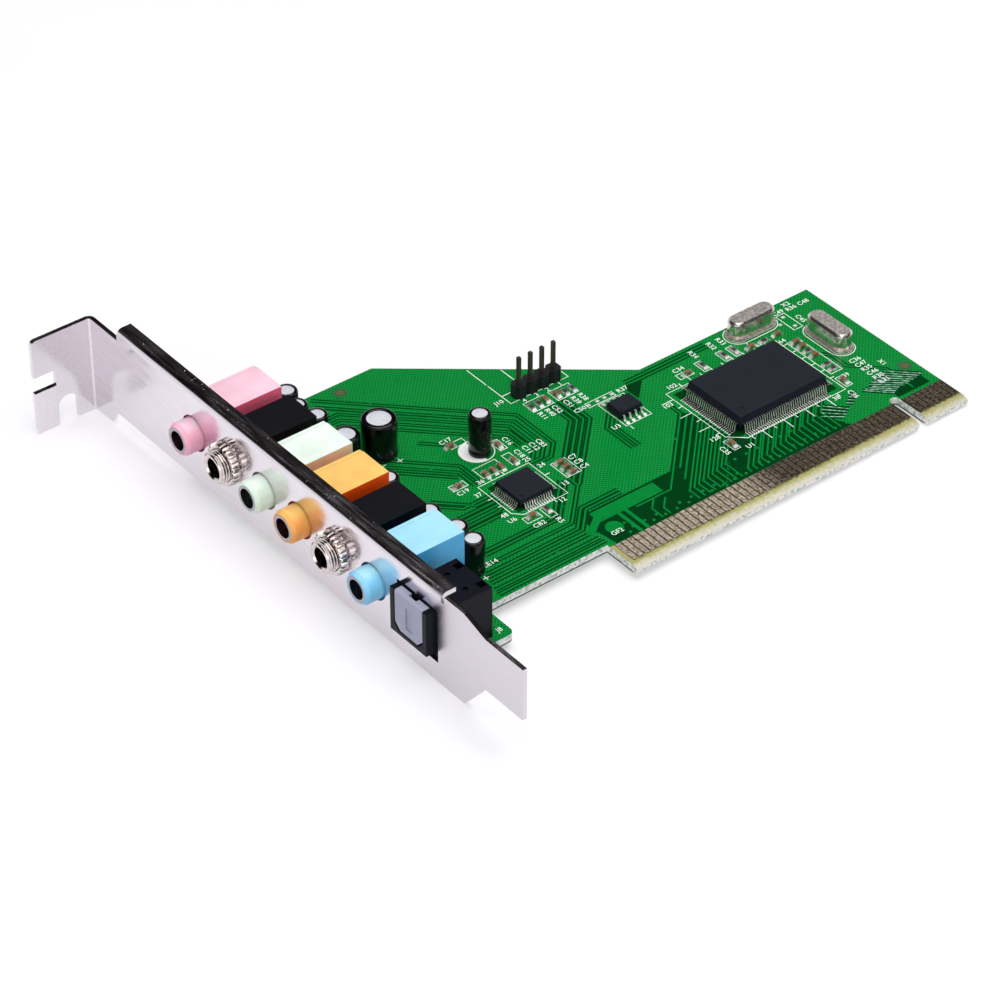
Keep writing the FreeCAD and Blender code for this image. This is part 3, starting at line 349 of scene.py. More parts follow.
# the bus from the contacts to the controller's left and lower rows of leads
CONTACTS_TOP = 28.4
for i in range(9):
    start, row = 60.8 + 1.19 * i, 45.2 - 0.97 * i
    TRACKS.append([(start, CONTACTS_TOP), (start, 31.0 + 0.22 * i), (75.0, row), (76.3, row)])
for i in range(17):
    start, lead, bend = 72.4 + 1.27 * i, 78.8 + 1.0 * i, 35.9 - 0.2 * (i % 3)
    TRACKS.append([(start, CONTACTS_TOP), (start, bend - abs(lead - start)), (lead, bend), (lead, 36.6)])
# four bundles of thicker lines near the right end; their mask is thin, and its shine is painted on in pale
# patches, as painted sheen
BRIGHT_TRACKS = [[(91.9 + 0.75 * i, 32.7 + 0.68 * i), (95.0 + 0.75 * i, 30.1 + 0.4 * i)] for i in range(4)]
BRIGHT_TRACKS += [[(98.0 + 0.75 * i, 32.9 + 0.5 * i), (98.9 + 0.75 * i, 32.1 + 0.5 * i)] for i in range(4)]
BRIGHT_TRACKS += [[(102.6 + 0.7 * i, 33.8 - 0.05 * i), (106.5 + 0.6 * i, 29.8 + 0.25 * i)] for i in range(4)]
BRIGHT_TRACKS += [[(104.7 + 0.8 * i, 34.4 + 0.2 * i), (109.4 + 0.8 * i, 30.4 + 0.1 * i)] for i in range(7)]
VIAS = [
    (33.0, 69.75), (61.0, 45.9), (62.25, 45.9), (33.4, 83.7), (34.8, 87.4), (44.2, 85.2), (37.0, 90.2),
    (41.2, 86.3), (48.4, 82.6), (40.3, 74.6), (41.4, 71.8), (52.6, 75.3), (30.4, 62.6), (36.9, 56.9),
    (27.1, 43.4), (28.7, 44.8), (24.8, 33.3), (31.6, 31.8), (33.0, 31.9), (49.0, 41.2), (53.4, 44.6),
    (57.5, 41.0), (66.6, 47.0), (68.2, 43.4), (70.4, 49.5), (73.6, 54.6), (83.4, 59.0), (88.0, 58.6),
    (104.4, 58.9), (105.6, 54.2), (112.6, 57.6), (113.4, 52.0), (112.9, 43.8), (110.8, 42.6), (106.8, 37.4),
    (113.6, 40.6), (46.6, 31.2), (40.9, 42.1), (41.4, 41.0)]
VIAS += [(53.2 + 0.95 * i, 34.4 + 0.85 * j) for i in range(5) for j in range(3)]
VIAS += [(45.9 + 1.27 * i, 28.7 + 0.9 * (i % 2)) for i in range(46) if i % 5 != 2]
VIAS += [(60.8 + 1.19 * i, 31.0 + 0.22 * i) for i in (0, 3, 6, 8)]
VIAS += [(72.4 + 2.54 * i, 32.8) for i in range(8)]
# real lines are about 0.3 mm wide; these are drawn wider, with their gaps, so that they show
GAP_WIDTH, TRACK_WIDTH, THICK_WIDTH = 1.06, 0.46, 0.24
hold(ribbons(TRACKS + BRIGHT_TRACKS, GAP_WIDTH, 0.008), "track_gaps", dark_mask)
hold(ribbons(TRACKS, TRACK_WIDTH, 0.02), "tracks", light_mask)
thin_mask, tree, surface, place = start_material("thin_solder_mask_with_painted_sheen",
                                                 {"IOR": 1.5, "Roughness": 0.2})
worn = add_node(tree, "TexNoise", {"Vector": place, "Scale": 1.3, "Detail": 2.0})
# painted sheen: pale patches stand for the light the thin mask catches
painted_sheen_patches = add_node(tree, "MapRange", {"Value": worn, "From Min": 0.42, "From Max": 0.62})
add_node(tree, "Mix", {"Factor": painted_sheen_patches, "A": linear("#128045"), "B": linear("#9ccfb8")},
         surface.inputs["Base Color"], data_type="RGBA")
hold(ribbons(BRIGHT_TRACKS, THICK_WIDTH, 0.04), "thick_tracks", thin_mask)


def turn_up(rings, sides=40, closed=False):
    """A round piece raised ring by ring from a circle; each ring is its radius and height in millimetres."""
    (radius, height), *rest = rings
    pick()
    bpy.ops.mesh.primitive_circle_add(vertices=sides, radius=radius * MM, location=(0, 0, height * MM))
    piece = bpy.context.object
    bpy.ops.object.transform_apply(location=True, rotation=True, scale=True)
    bpy.ops.object.mode_set(mode="EDIT")
    bpy.ops.mesh.select_mode(type="VERT")
    bpy.ops.mesh.select_all(action="SELECT")
    if not closed:
        bpy.ops.mesh.edge_face_add()
        bpy.ops.mesh.select_mode(type="EDGE")
        bpy.ops.mesh.select_all(action="SELECT")
        bpy.ops.mesh.select_mode(type="VERT")
    for wider, higher in rest:
        bpy.ops.mesh.extrude_edges_move(TRANSFORM_OT_translate={"value": (0, 0, (higher - height) * MM)})
        bpy.ops.transform.resize(value=(wider / radius, wider / radius, 1))
        radius, height = wider, higher
    if not closed:
        bpy.ops.mesh.edge_face_add()
    bpy.ops.mesh.select_all(action="SELECT")
    bpy.ops.mesh.remove_doubles(threshold=1e-7)
    bpy.ops.mesh.normals_make_consistent(inside=False)
    bpy.ops.object.mode_set(mode="OBJECT")
    return piece


def join(pieces):
    """Several pieces made one."""
    pick(*pieces)
    bpy.ops.object.join()
    return bpy.context.object


def spread(pattern, near=(), far=()):
    """Copies of a modelled piece in one mesh: turned about Z on the near face, upside down on the far one."""
    spots = [Matrix.Translation(at(x, y)) @ Matrix.Rotation(math.radians(turn), 4, "Z")
             for x, y, turn in near]
    spots += [Matrix.Translation(at(x, y, BOARD_BACK)) @ Matrix.Rotation(math.pi, 4, "X") for x, y in far]
    copies = []
    for spot in spots:
        copy = pattern.copy()
        copy.data = pattern.data.copy()
        bpy.context.collection.objects.link(copy)
        copy.matrix_world = spot
        copies.append(copy)
    bpy.data.objects.remove(pattern)
    return join(copies)


BOARD_BACK = -1.57  # height of the far face
collar = turn_up([(0.3, 0.0), (0.27, 0.06), (0.14, 0.06), (0.12, 0.02)], 12)
hold(spread(collar, [(x, y, 0.0) for x, y in VIAS], VIAS), "vias", light_mask)

# Jacks: four moulded in one coloured plastic with a rolled metal sleeve at the mouth, two in black plastic
# with a turned and threaded brass bushing that a knurled round nut clamps to the bracket.
# The plastic has the fine grain of a spark-eroded mould; its top is painted pale as painted light, and its
# barrel and walls deeper as painted shade.
GRAIN = 0.25  # of the mould, in millimetres
NO_SEAM = -99.0  # a place off the part


def moulded(name, code, rough=0.35, gloss=0.5, barrel=None, wall=None, glow=0.0, seam=NO_SEAM):
    """A moulded plastic: grain, a slow drift of tone, painted light on the top and painted shade on the
    barrel and walls, and a lid's seam along X.
    """
    material, tree, surface, place = start_material(
        name,
        {"IOR": 1.5, "Specular IOR Level": gloss, "Subsurface Weight": glow, "Subsurface Scale": 1.5 * MM})
    facing = add_node(tree, "SeparateXYZ", {"Vector": tree.nodes["Texture Coordinate"].outputs["Normal"]})
    # painted light and shade: faces turned up take the pale top colour, the rest the deeper barrel and wall
    # colours
    upward = add_node(tree, "MapRange", {"Value": facing.outputs["Z"], "From Min": 0.7, "From Max": 0.98})
    axes = add_node(tree, "SeparateXYZ", {"Vector": place})
    behind = add_node(tree, "Math", {0: axes.outputs["X"], 1: 1.0}, operation="GREATER_THAN")
    painted_shade_tone = add_node(tree, "Mix", {"Factor": behind, "A": linear(barrel or code), "B": linear(wall or code)},
                    data_type="RGBA")
    tone = add_node(tree, "Mix", {"Factor": upward, "A": painted_shade_tone, "B": linear(code)}, data_type="RGBA")
    drift = add_node(tree, "TexNoise", {"Vector": place, "Scale": 1 / 5, "Detail": 3.0})
    shade = add_node(tree, "MapRange",
                     {"Value": drift, "From Min": 0.3, "From Max": 0.7, "To Min": 0.88, "To Max": 1.04})
    line = add_node(tree, "Math", {0: axes.outputs["Y"], 1: seam, 2: 0.09}, operation="COMPARE")
    line = add_node(tree, "Math", {0: line, 1: behind}, operation="MULTIPLY")
    value = add_node(tree, "Math", {0: line, 1: -0.3, 2: shade}, operation="MULTIPLY_ADD")
    add_node(tree, "HueSaturation", {"Color": tone, "Value": value}, surface.inputs["Base Color"])
    bed = add_node(tree, "TexNoise", {"Vector": place, "Scale": 1 / GRAIN, "Detail": 2.0})
    add_node(tree, "MapRange", {"Value": bed, "To Min": rough - 0.1, "To Max": rough + 0.12},
             surface.inputs["Roughness"])
    add_node(tree, "Bump", {"Height": bed, "Distance": 0.012 * MM}, surface.inputs["Normal"])
    return material


# each jack's middle, its top colour painted pale as painted light, and its barrel and wall colours painted
# deeper as painted shade
JACK_COLOURS = {"blue": (38.2, "#abe6ff", "#86d2f8", "#4fc0fb"),
                "orange": (58.2, "#ffca70", "#ffaa54", "#ff5a0a"),
                "green": (68.2, "#f2fff3", "#e4f6e4", "#f2eec0"),
                "pink": (88.2, "#ffcfdf", "#ffb2c9", "#ff7596")}
for colour, (middle, code, barrel, wall) in JACK_COLOURS.items():
    dress(moulded(f"moulded_{colour}_abs", code, barrel=barrel, wall=wall, glow=0.4, seam=middle + 3.1),
          f"jack_body_{colour}")
dress(moulded("moulded_black_pbt", "#0a0b12", rough=0.34, gloss=0.16), "jack_body_lower", "jack_body_upper")

# nickel on turned brass: bright, with painted shade in its valleys and fine marks of the tool
plating, tree, surface, place = start_material("nickel_plated_brass", {"Metallic": 1.0})
tarnish = add_node(tree, "TexNoise", {"Vector": place, "Scale": 1.2, "Detail": 4.0})
worn = add_node(tree, "Mix", {"Factor": tarnish, "A": linear("#b0a5a1"), "B": linear("#efe6e2")},
                data_type="RGBA")
edges = add_node(tree, "NewGeometry").outputs["Pointiness"]
# painted shade: hollows of the knurl and thread are painted dark
painted_valley_shade = add_node(tree, "MapRange",
                  {"Value": edges, "From Min": 0.44, "From Max": 0.52, "To Min": 1.0, "To Max": 0.0})
add_node(tree, "Mix", {"Factor": painted_valley_shade, "A": worn, "B": linear("#2a2322")}, surface.inputs["Base Color"],
         data_type="RGBA")
add_node(tree, "MapRange", {"Value": tarnish, "To Min": 0.06, "To Max": 0.2}, surface.inputs["Roughness"])
tool = add_node(tree, "TexWave", {"Vector": place, "Scale": 1.6, "Distortion": 0.4, "Detail": 1.0},
                bands_direction="X")
add_node(tree, "Bump", {"Height": tool, "Distance": 0.004 * MM}, surface.inputs["Normal"])
# tin plate rolled to a sleeve: grey and softly bright
sleeve = mottled("rolled_tin_plate", {"Metallic": 1.0, "Roughness": 0.2}, "#7d7a80", "#bdbac0", grains=1.5,
                 detail=3.0)
dress(sleeve, *[f"jack_sleeve_{colour}" for colour in JACK_COLOURS])


def pick_corners(piece, wanted):
    """Open a piece for editing with only those corners selected whose place is wanted."""
    bpy.ops.object.mode_set(mode="EDIT")
    bpy.ops.mesh.select_all(action="DESELECT")
    bpy.ops.object.mode_set(mode="OBJECT")
    for corner in piece.data.vertices:
        corner.select = wanted(corner.co)
    bpy.ops.object.mode_set(mode="EDIT")


BORE, CREST, ROOT, PITCH = 1.8, 2.95, 2.68, 0.5  # the bushing's bore and thread
NUT = [(3.05, 0.0), (3.5, 0.0), (3.9, 0.3), (3.9, 1.35), (3.7, 1.6), (3.05, 1.6), (3.05, 0.0)]
TEETH, TOOTH_ROOT = 26, 0.91  # the nut's knurl: number of teeth, and how far in the gaps between them lie
TOOTH_STEPS = 4 * TEETH
JACK_AXIS, BEHIND_PLATE = 6.75, -2.0  # height of the bores, and the depth at which the bushings end
SMOOTH_BELOW = math.radians(28)


def in_gap(corner):
    """Whether a corner of the nut's rim lies in a gap of its knurl."""
    step = round(math.atan2(corner.y, corner.x) * TOOTH_STEPS / math.tau)
    return corner.xy.length > 3.6 * MM and step % 4 == 0


thread = [(CREST, 0.2)]
for i in range(6):
    thread += [(CREST, 0.35 + i * PITCH), (ROOT, 0.55 + i * PITCH), (CREST, 0.75 + i * PITCH)]
for name, middle in (("lower", 48.2), ("upper", 78.2)):
    mouth = Matrix.Translation(at(0, middle, JACK_AXIS)) @ Matrix.Rotation(math.radians(-90), 4, "Y")
    reach = -(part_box(f"jack_bushing_{name}")[0].x / MM + CARD_ORIGIN[0])
    rings = [(BORE, BEHIND_PLATE), (BORE, reach - 0.3), (BORE + 0.3, reach), (CREST - 0.45, reach),
             (ROOT, reach - 0.18)]
    rings += [(radius, height) for radius, height in reversed(thread) if height < reach - 0.25]
    bushing = turn_up(rings + [(CREST, BEHIND_PLATE), (BORE, BEHIND_PLATE)], closed=True)
    bushing.matrix_world = mouth
    bpy.ops.object.shade_smooth_by_angle(angle=SMOOTH_BELOW)
    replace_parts(hold(bushing, f"threaded_bushing_{name}", plating), f"jack_bushing_{name}")
    nut = turn_up(NUT, TOOTH_STEPS, True)
    pick_corners(nut, in_gap)
    bpy.ops.transform.resize(value=(TOOTH_ROOT, TOOTH_ROOT, 1), center_override=(0, 0, 0))
    bpy.ops.object.mode_set(mode="OBJECT")
    nut.matrix_world = mouth
    bpy.ops.object.shade_smooth_by_angle(angle=SMOOTH_BELOW)
    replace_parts(hold(nut, f"knurled_nut_{name}", plating), f"bracket_nut_{name}")

# Optical port: a moulded black housing that the plug snaps into, with a sprung grey flap that keeps dust out.
# The flap turns on a thin steel pin, and the red light source sits at the socket's end.
dress(moulded("moulded_black_abs", "#0d0e1a", rough=0.36, gloss=0.1), "optical_housing")
dress(moulded("moulded_grey_flap", "#a2a4ba", rough=0.4), "optical_shutter")
dress(moulded("clear_red_resin", "#6a1414", rough=0.15), "optical_emitter")
# drawn wire: dark grey steel with a soft gloss
spring_steel = mottled("drawn_spring_steel", {"Metallic": 1.0, "Roughness": 0.25}, "#4b4b4e", "#7c7c80",
                       grains=4.0, detail=3.0)
dress(spring_steel, "shutter_pin", "shutter_spring")

# Capacitors: aluminium cans crimped on a rubber seal, in a shrunk black film whose edge curls over the top.
# The film is glossy; the bare can shows as a satin disc.
film = mottled("shrunk_black_pvc_film", {"IOR": 1.53, "Specular IOR Level": 0.25}, "#050507", "#0f0f14",
               grains=0.9, detail=2.0, rough=(0.06, 0.16), relief=0.05)
can_top = mottled("satin_aluminium", {"Metallic": 0.85}, "#c4c6d0", "#f6f7fb", grains=3.0, detail=6.0,
                  rough=(0.5, 0.75), relief=0.03)
# each can's place, radius and height
CANS = [
    (19.2, 36.8, 2.0, 7.0), (19.2, 41.1, 2.0, 7.0), (18.2, 47.2, 2.0, 7.0), (18.2, 58.4, 2.0, 7.0),
    (19.7, 72.1, 2.5, 7.0), (19.2, 79.6, 2.0, 7.0), (18.2, 84.0, 2.0, 7.0), (19.2, 88.3, 2.0, 7.0),
    (26.25, 71.5, 3.15, 7.6), (39.8, 61.2, 2.0, 8.4)]
for i, (x, y, radius, height) in enumerate(CANS, start=1):
    lip, neck = 0.68 * radius, radius - 0.1  # the film's edge on the top, and the crimp
    can = turn_up([(radius - 0.35, 0.0), (neck, 0.05), (radius, 0.25), (radius, 0.95), (neck, 1.15),
                   (neck, 1.3), (radius, 1.5), (radius, height - 0.5), (radius - 0.06, height - 0.26),
                   (radius - 0.2, height - 0.08), (radius - 0.38, height), (lip + 0.08, height),
                   (lip, height - 0.06),
                   (lip - 0.02, height - 0.16), (lip * 0.5, height - 0.15)], 48)
    can.data.materials.append(film)
    can.data.materials.append(can_top)
    for face in can.data.polygons:
        bare = face.center.z > (height - 0.2) * MM and face.center.xy.length < (lip - 0.015) * MM
        face.material_index = int(bare)
    can.location = at(x, y, 0.0)
    bpy.ops.object.shade_smooth_by_angle(angle=math.radians(40))
    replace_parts(hold(can, f"sleeved_can_{i}", None), f"capacitor_{i}")

# Integrated circuits: epoxy moulded round a lead frame, with tinned leads bent to the board.
# The mould gives the epoxy a fine matt grain. The tin is bright, and the leads' upright faces are painted
# dark, as painted shade.
epoxy, tree, surface, place = start_material("moulded_black_epoxy", {"IOR": 1.55, "Specular IOR Level": 0.18})
grit = add_node(tree, "TexNoise", {"Vector": place, "Scale": 5.0, "Detail": 5.0})
cloud = add_node(tree, "TexNoise", {"Vector": place, "Scale": 0.25, "Detail": 2.0})
both = add_node(tree, "Mix", {"Factor": 0.5, "A": grit, "B": cloud})
add_node(tree, "Mix", {"Factor": both, "A": linear("#06080f"), "B": linear("#141928")},
         surface.inputs["Base Color"], data_type="RGBA")
add_node(tree, "MapRange", {"Value": grit, "To Min": 0.45, "To Max": 0.7}, surface.inputs["Roughness"])
add_node(tree, "Bump", {"Height": grit, "Distance": 0.02 * MM}, surface.inputs["Normal"])
dress(epoxy, "controller_case", "codec_case", "memory_case")
tin = mottled("bright_tin_on_copper", {"Metallic": 1.0}, "#c9c6c3", "#fbf9f6", grains=2.2, detail=3.0,
              rough=(0.18, 0.42), relief=0.03)
dress(tin, "chip_ends", "lead_ends")
frame_tin, tree, surface, place = start_material("tin_on_lead_frame", {"Metallic": 1.0})
dip = add_node(tree, "TexNoise", {"Vector": place, "Scale": 2.2, "Detail": 3.0})
formed = add_node(tree, "Mix", {"Factor": dip, "A": linear("#d4d1ce"), "B": linear("#fffdfa")},
                  data_type="RGBA")
facing = add_node(tree, "SeparateXYZ", {"Vector": tree.nodes["Texture Coordinate"].outputs["Normal"]})
# painted shade: the leads' upright faces are painted dark
painted_shade_faces = add_node(tree, "Math", {0: facing.outputs["Z"], 1: 0.0, 2: 0.06}, operation="COMPARE")
add_node(tree, "Mix", {"Factor": painted_shade_faces, "A": formed, "B": linear("#2b2826")}, surface.inputs["Base Color"],
         data_type="RGBA")
add_node(tree, "MapRange", {"Value": dip, "To Min": 0.18, "To Max": 0.42}, surface.inputs["Roughness"])
dress(frame_tin, "controller_leads", "codec_leads", "memory_leads")

# Pin header: square brass posts pressed through a strip of black nylon and soldered into the board.
# The strip is satin, and the posts' tin has darkened to a dull brown.
dress(moulded("moulded_black_nylon", "#0f0f14", rough=0.45, gloss=0.3), "header_base")
posts = mottled("darkened_tin_on_brass", {"Metallic": 0.6, "Roughness": 0.5}, "#2b2622", "#5f554b",
                grains=2.0, detail=3.0)
dress(posts, "header_posts")

# Crystals: an oval can drawn from nickel silver sheet, welded by its flange to an oval base.
# The drawn wall is smooth and bright with a rounded rim, and the flat top is dull from its ink.
nickel_silver, tree, surface, place = start_material("drawn_nickel_silver", {"Metallic": 1.0})
haze = add_node(tree, "TexNoise", {"Vector": place, "Scale": 1.1, "Detail": 5.0})
wall = add_node(tree, "Mix", {"Factor": haze, "A": linear("#b4aca6"), "B": linear("#f4eee9")},
                data_type="RGBA")
stipple = add_node(tree, "TexNoise", {"Vector": place, "Scale": 1.6, "Detail": 4.0})
inked = add_node(tree, "MapRange", {"Value": stipple, "From Min": 0.4, "From Max": 0.6})
lid = add_node(tree, "Mix", {"Factor": inked, "A": linear("#b3aba5"), "B": linear("#e2dad3")},
               data_type="RGBA")
facing = add_node(tree, "SeparateXYZ", {"Vector": tree.nodes["Texture Coordinate"].outputs["Normal"]})
flat = add_node(tree, "Math", {0: facing.outputs["Z"], 1: 0.97}, operation="GREATER_THAN")
add_node(tree, "Mix", {"Factor": flat, "A": wall, "B": lid}, surface.inputs["Base Color"], data_type="RGBA")
add_node(tree, "MapRange", {"Value": flat, "To Min": 0.24, "To Max": 0.42}, surface.inputs["Roughness"])
add_node(tree, "Bump", {"Height": haze, "Distance": 0.03 * MM}, surface.inputs["Normal"])
dress(nickel_silver, "crystal_base_upper", "crystal_can_upper", "crystal_base_right", "crystal_can_right")
for name in ("crystal_can_upper", "crystal_can_right"):
    weld = nodes[name].modifiers.new("weld", "WELD")
    weld.merge_threshold = 1e-6
    rim = nodes[name].modifiers.new("rounded_rim", "BEVEL")
    rim.width = 0.4 * MM
    rim.segments = 2
    rim.limit_method = "ANGLE"
    rim.angle_limit = math.radians(40)

# Chip resistors and capacitors: fired ceramic blocks with tinned ends, soldered flat on the board.
# The resistors have a black glass top on white alumina; the capacitors are tan all through.
alumina, tree, surface, place = start_material("glazed_alumina", {"IOR": 1.6})
facing = add_node(tree, "SeparateXYZ", {"Vector": tree.nodes["Texture Coordinate"].outputs["Normal"]})
top = add_node(tree, "Math", {0: facing.outputs["Z"], 1: 0.7}, operation="GREATER_THAN")
pit = add_node(tree, "TexNoise", {"Vector": place, "Scale": 4.0, "Detail": 3.0})
glass = add_node(tree, "Mix", {"Factor": pit, "A": linear("#1b1a1c"), "B": linear("#3c3a3d")},
                 data_type="RGBA")
add_node(tree, "Mix", {"Factor": top, "A": linear("#e4e0d8"), "B": glass}, surface.inputs["Base Color"],
         data_type="RGBA")
add_node(tree, "MapRange", {"Value": pit, "To Min": 0.2, "To Max": 0.5}, surface.inputs["Roughness"])
dress(alumina, "chip_resistors")
titanate = mottled("fired_titanate", {"IOR": 1.6}, "#4a2e18", "#9c7148", grains=1.6, detail=4.0,
                   rough=(0.25, 0.5))
dress(titanate, "chip_capacitors")

# Solder: tin alloy reflowed into a small ramp at each end of a chip part and at each lead's toe and bare pad,
# and drawn up in cones round the leads on the far side of the board. It is pale and frosted.
solder = mottled("reflowed_tin_alloy", {"Metallic": 0.7}, "#d3d2d0", "#fdfdfb", grains=2.6, detail=4.0,
                 rough=(0.3, 0.6), relief=0.05)


def ramp(length, width, height, toe):
    """A wedge with its back against x = 0 and its toe at +x, with soft edges."""
    pick()
    bpy.ops.mesh.primitive_cube_add(size=1.0, location=(0.5, 0, 0.5))
    piece = bpy.context.object
    bpy.ops.object.transform_apply(location=True, rotation=True, scale=True)
    piece.scale = (length * MM, width * MM, height * MM)
    bpy.ops.object.transform_apply(location=True, rotation=True, scale=True)
    pick_corners(piece, lambda corner: corner.x > 0.5 * length * MM and corner.z > 0.5 * height * MM)
    bpy.ops.transform.translate(value=(0, 0, (toe - height) * MM))
    bpy.ops.mesh.select_all(action="SELECT")
    bpy.ops.mesh.bevel(offset=min(toe * 0.6, 0.06) * MM, segments=1)
    bpy.ops.object.mode_set(mode="OBJECT")
    return piece


# each chip part's middle, and whether it lies along Y
CHIP_PARTS = [
    (54.4, 65.5, 1), (56.05, 65.5, 1), (57.7, 65.7, 1), (60.2, 65.7, 1), (61.8, 65.4, 1), (63.45, 65.4, 1),
    (36.55, 55.5, 1), (38.2, 55.5, 1), (39.85, 55.5, 1), (42.65, 55.5, 1), (43.25, 60.6, 1), (36.65, 65.4, 0),
    (30.85, 55.8, 0), (35.65, 41.9, 0), (38.75, 41.9, 1), (48.45, 47.0, 0), (48.45, 48.65, 0),
    (48.45, 50.3, 0), (81.9, 56.2, 0), (85.5, 56.4, 1), (90.4, 56.4, 1), (92.8, 56.4, 1), (95.7, 55.2, 0),
    (101.9, 55.2, 0), (98.8, 55.2, 0), (102.9, 49.8, 0), (102.9, 51.45, 0), (102.9, 43.2, 0),
    (102.9, 41.55, 0), (102.9, 48.15, 0), (102.9, 46.5, 0), (101.9, 37.8, 1), (74.7, 36.2, 1)]
CHIP_HALF = 0.8
ends = []
for x, y, upright in CHIP_PARTS:
    for turn in (90, 270) if upright else (0, 180):
        lean = math.radians(turn)
        ends.append((x + CHIP_HALF * math.cos(lean), y + CHIP_HALF * math.sin(lean), turn))
hold(spread(ramp(length=0.4, width=0.86, height=0.4, toe=0.06), ends), "solder_ramps", solder)

BARE_PADS = [
    (62.7, 59.95), (64.6, 59.95), (66.2, 59.95), (67.8, 59.95), (106.35, 58.6), (106.35, 55.4), (104.4, 57.2)]
PAD = 0.7  # length
hold(spread(ramp(length=PAD, width=0.6, height=0.09, toe=0.07),
            [(x - PAD / 2, y, 0.0) for x, y in BARE_PADS]), "bare_pads", solder)
# rows of fine leads: first toe, step to the next along X and Y, the way the toes point, their number
FINE = 0.5
TOE_ROWS = [(76.3, 38.55, 0, FINE, 180, 26), (99.5, 38.55, 0, FINE, 0, 26), (78.65, 36.2, FINE, 0, 270, 38),
            (78.65, 53.4, FINE, 0, 90, 38), (34.45, 45.45, 0, FINE, 180, 12), (43.45, 45.45, 0, FINE, 0, 12),
            (36.2, 43.7, FINE, 0, 270, 12), (36.2, 52.7, FINE, 0, 90, 12)]
toes = [(x + i * across, y + i * up, turn)
        for x, y, across, up, turn, count in TOE_ROWS for i in range(count)]
hold(spread(ramp(length=0.35, width=0.28, height=0.1, toe=0.05), toes), "fine_lead_toes", solder)
wide_toes = [(64.745 + 1.27 * i, side, turn) for side, turn in ((52.1, 270), (58.1, 90)) for i in range(4)]
hold(spread(ramp(length=0.6, width=0.62, height=0.2, toe=0.06), wide_toes), "wide_lead_toes", solder)

JACK_MIDDLES = [38.2 + 10 * i for i in range(6)]
LEADS = [(x, y + step) for y in JACK_MIDDLES for x, step in ((8.3, -2.9), (8.3, 2.9), (14.4, 0.0))]
LEADS += [(x + sign * radius / 2, y) for x, y, radius, _ in CANS for sign in (-1, 1)]
LEADS += [(55.1 + 2.54 * i, 69.8) for i in range(4)]
LEADS += [(96.95, 59.5), (101.85, 59.5), (108.3, 46.15), (108.3, 51.05), (10.0, 24.225), (10.0, 28.875)]
cone = turn_up([(0.95, 0.0), (0.9, 0.06), (0.68, 0.2), (0.5, 0.42), (0.42, 0.58), (0.3, 0.62)], 16)
bpy.ops.object.shade_smooth_by_angle(angle=math.radians(50))
hold(spread(cone, far=LEADS), "solder_cones", solder)

# Solder side: copper tracks etched on the far face, under the same mask, from lead to lead.
# They are drawn about as wide as the near ones, and laid face down.
FAR_TRACKS = [
    [(14.4, 38.2), (24.0, 38.2), (34.0, 44.0)], [(14.4, 48.2), (30.0, 48.2), (34.5, 46.2)],
    [(14.4, 58.2), (27.0, 58.2), (36.0, 49.2)], [(14.4, 68.2), (29.5, 68.2), (39.0, 58.7), (39.0, 53.0)],
    [(14.4, 78.2), (31.0, 78.2), (41.0, 68.2), (41.0, 53.0)],
    [(14.4, 88.2), (34.0, 88.2), (47.0, 75.2), (47.0, 50.0), (44.0, 47.0)], [(8.3, 85.3), (8.3, 41.1)],
    [(11.0, 86.0), (11.0, 36.0)], [(55.1, 69.8), (55.1, 54.0), (48.0, 47.0)],
    [(57.64, 69.8), (57.64, 53.0), (49.4, 44.8)], [(60.18, 69.8), (60.18, 52.0), (50.6, 42.4)],
    [(62.72, 69.8), (62.72, 50.0), (54.0, 41.3), (54.0, 30.0)],
    [(66.0, 58.0), (66.0, 45.0), (72.0, 39.0), (72.0, 30.0)],
    [(70.0, 56.0), (70.0, 47.0), (78.0, 39.0), (78.0, 30.0)],
    [(74.0, 58.0), (74.0, 49.0), (84.0, 39.0), (84.0, 30.0)],
    [(96.95, 59.5), (96.95, 44.0), (90.5, 37.4), (90.5, 30.0)],
    [(101.85, 59.5), (101.85, 43.0), (95.5, 36.2), (95.5, 30.0)],
    [(108.3, 46.15), (108.3, 40.0), (101.0, 32.7), (101.0, 30.0)],
    [(108.3, 51.05), (112.0, 47.35), (112.0, 30.0)],
    [(10.0, 28.875), (14.0, 33.2), (30.0, 33.2), (36.0, 39.2)]]
mirrored = [[(x, 2 * CARD_ORIGIN[1] - y) for x, y in route] for route in FAR_TRACKS]
both_faces = at(0, 0, BOARD_BACK).z + at(0, 0).z
face_down = Matrix.Translation((0, 0, both_faces)) @ Matrix.Rotation(math.pi, 4, "X")
for width, rise, name, material in ((1.0, 0.012, "far_track_gaps", dark_mask),
                                    (0.4, 0.024, "far_tracks", light_mask)):
    lines = ribbons(mirrored, width, rise)
    lines.matrix_world = face_down
    hold(lines, name, material)

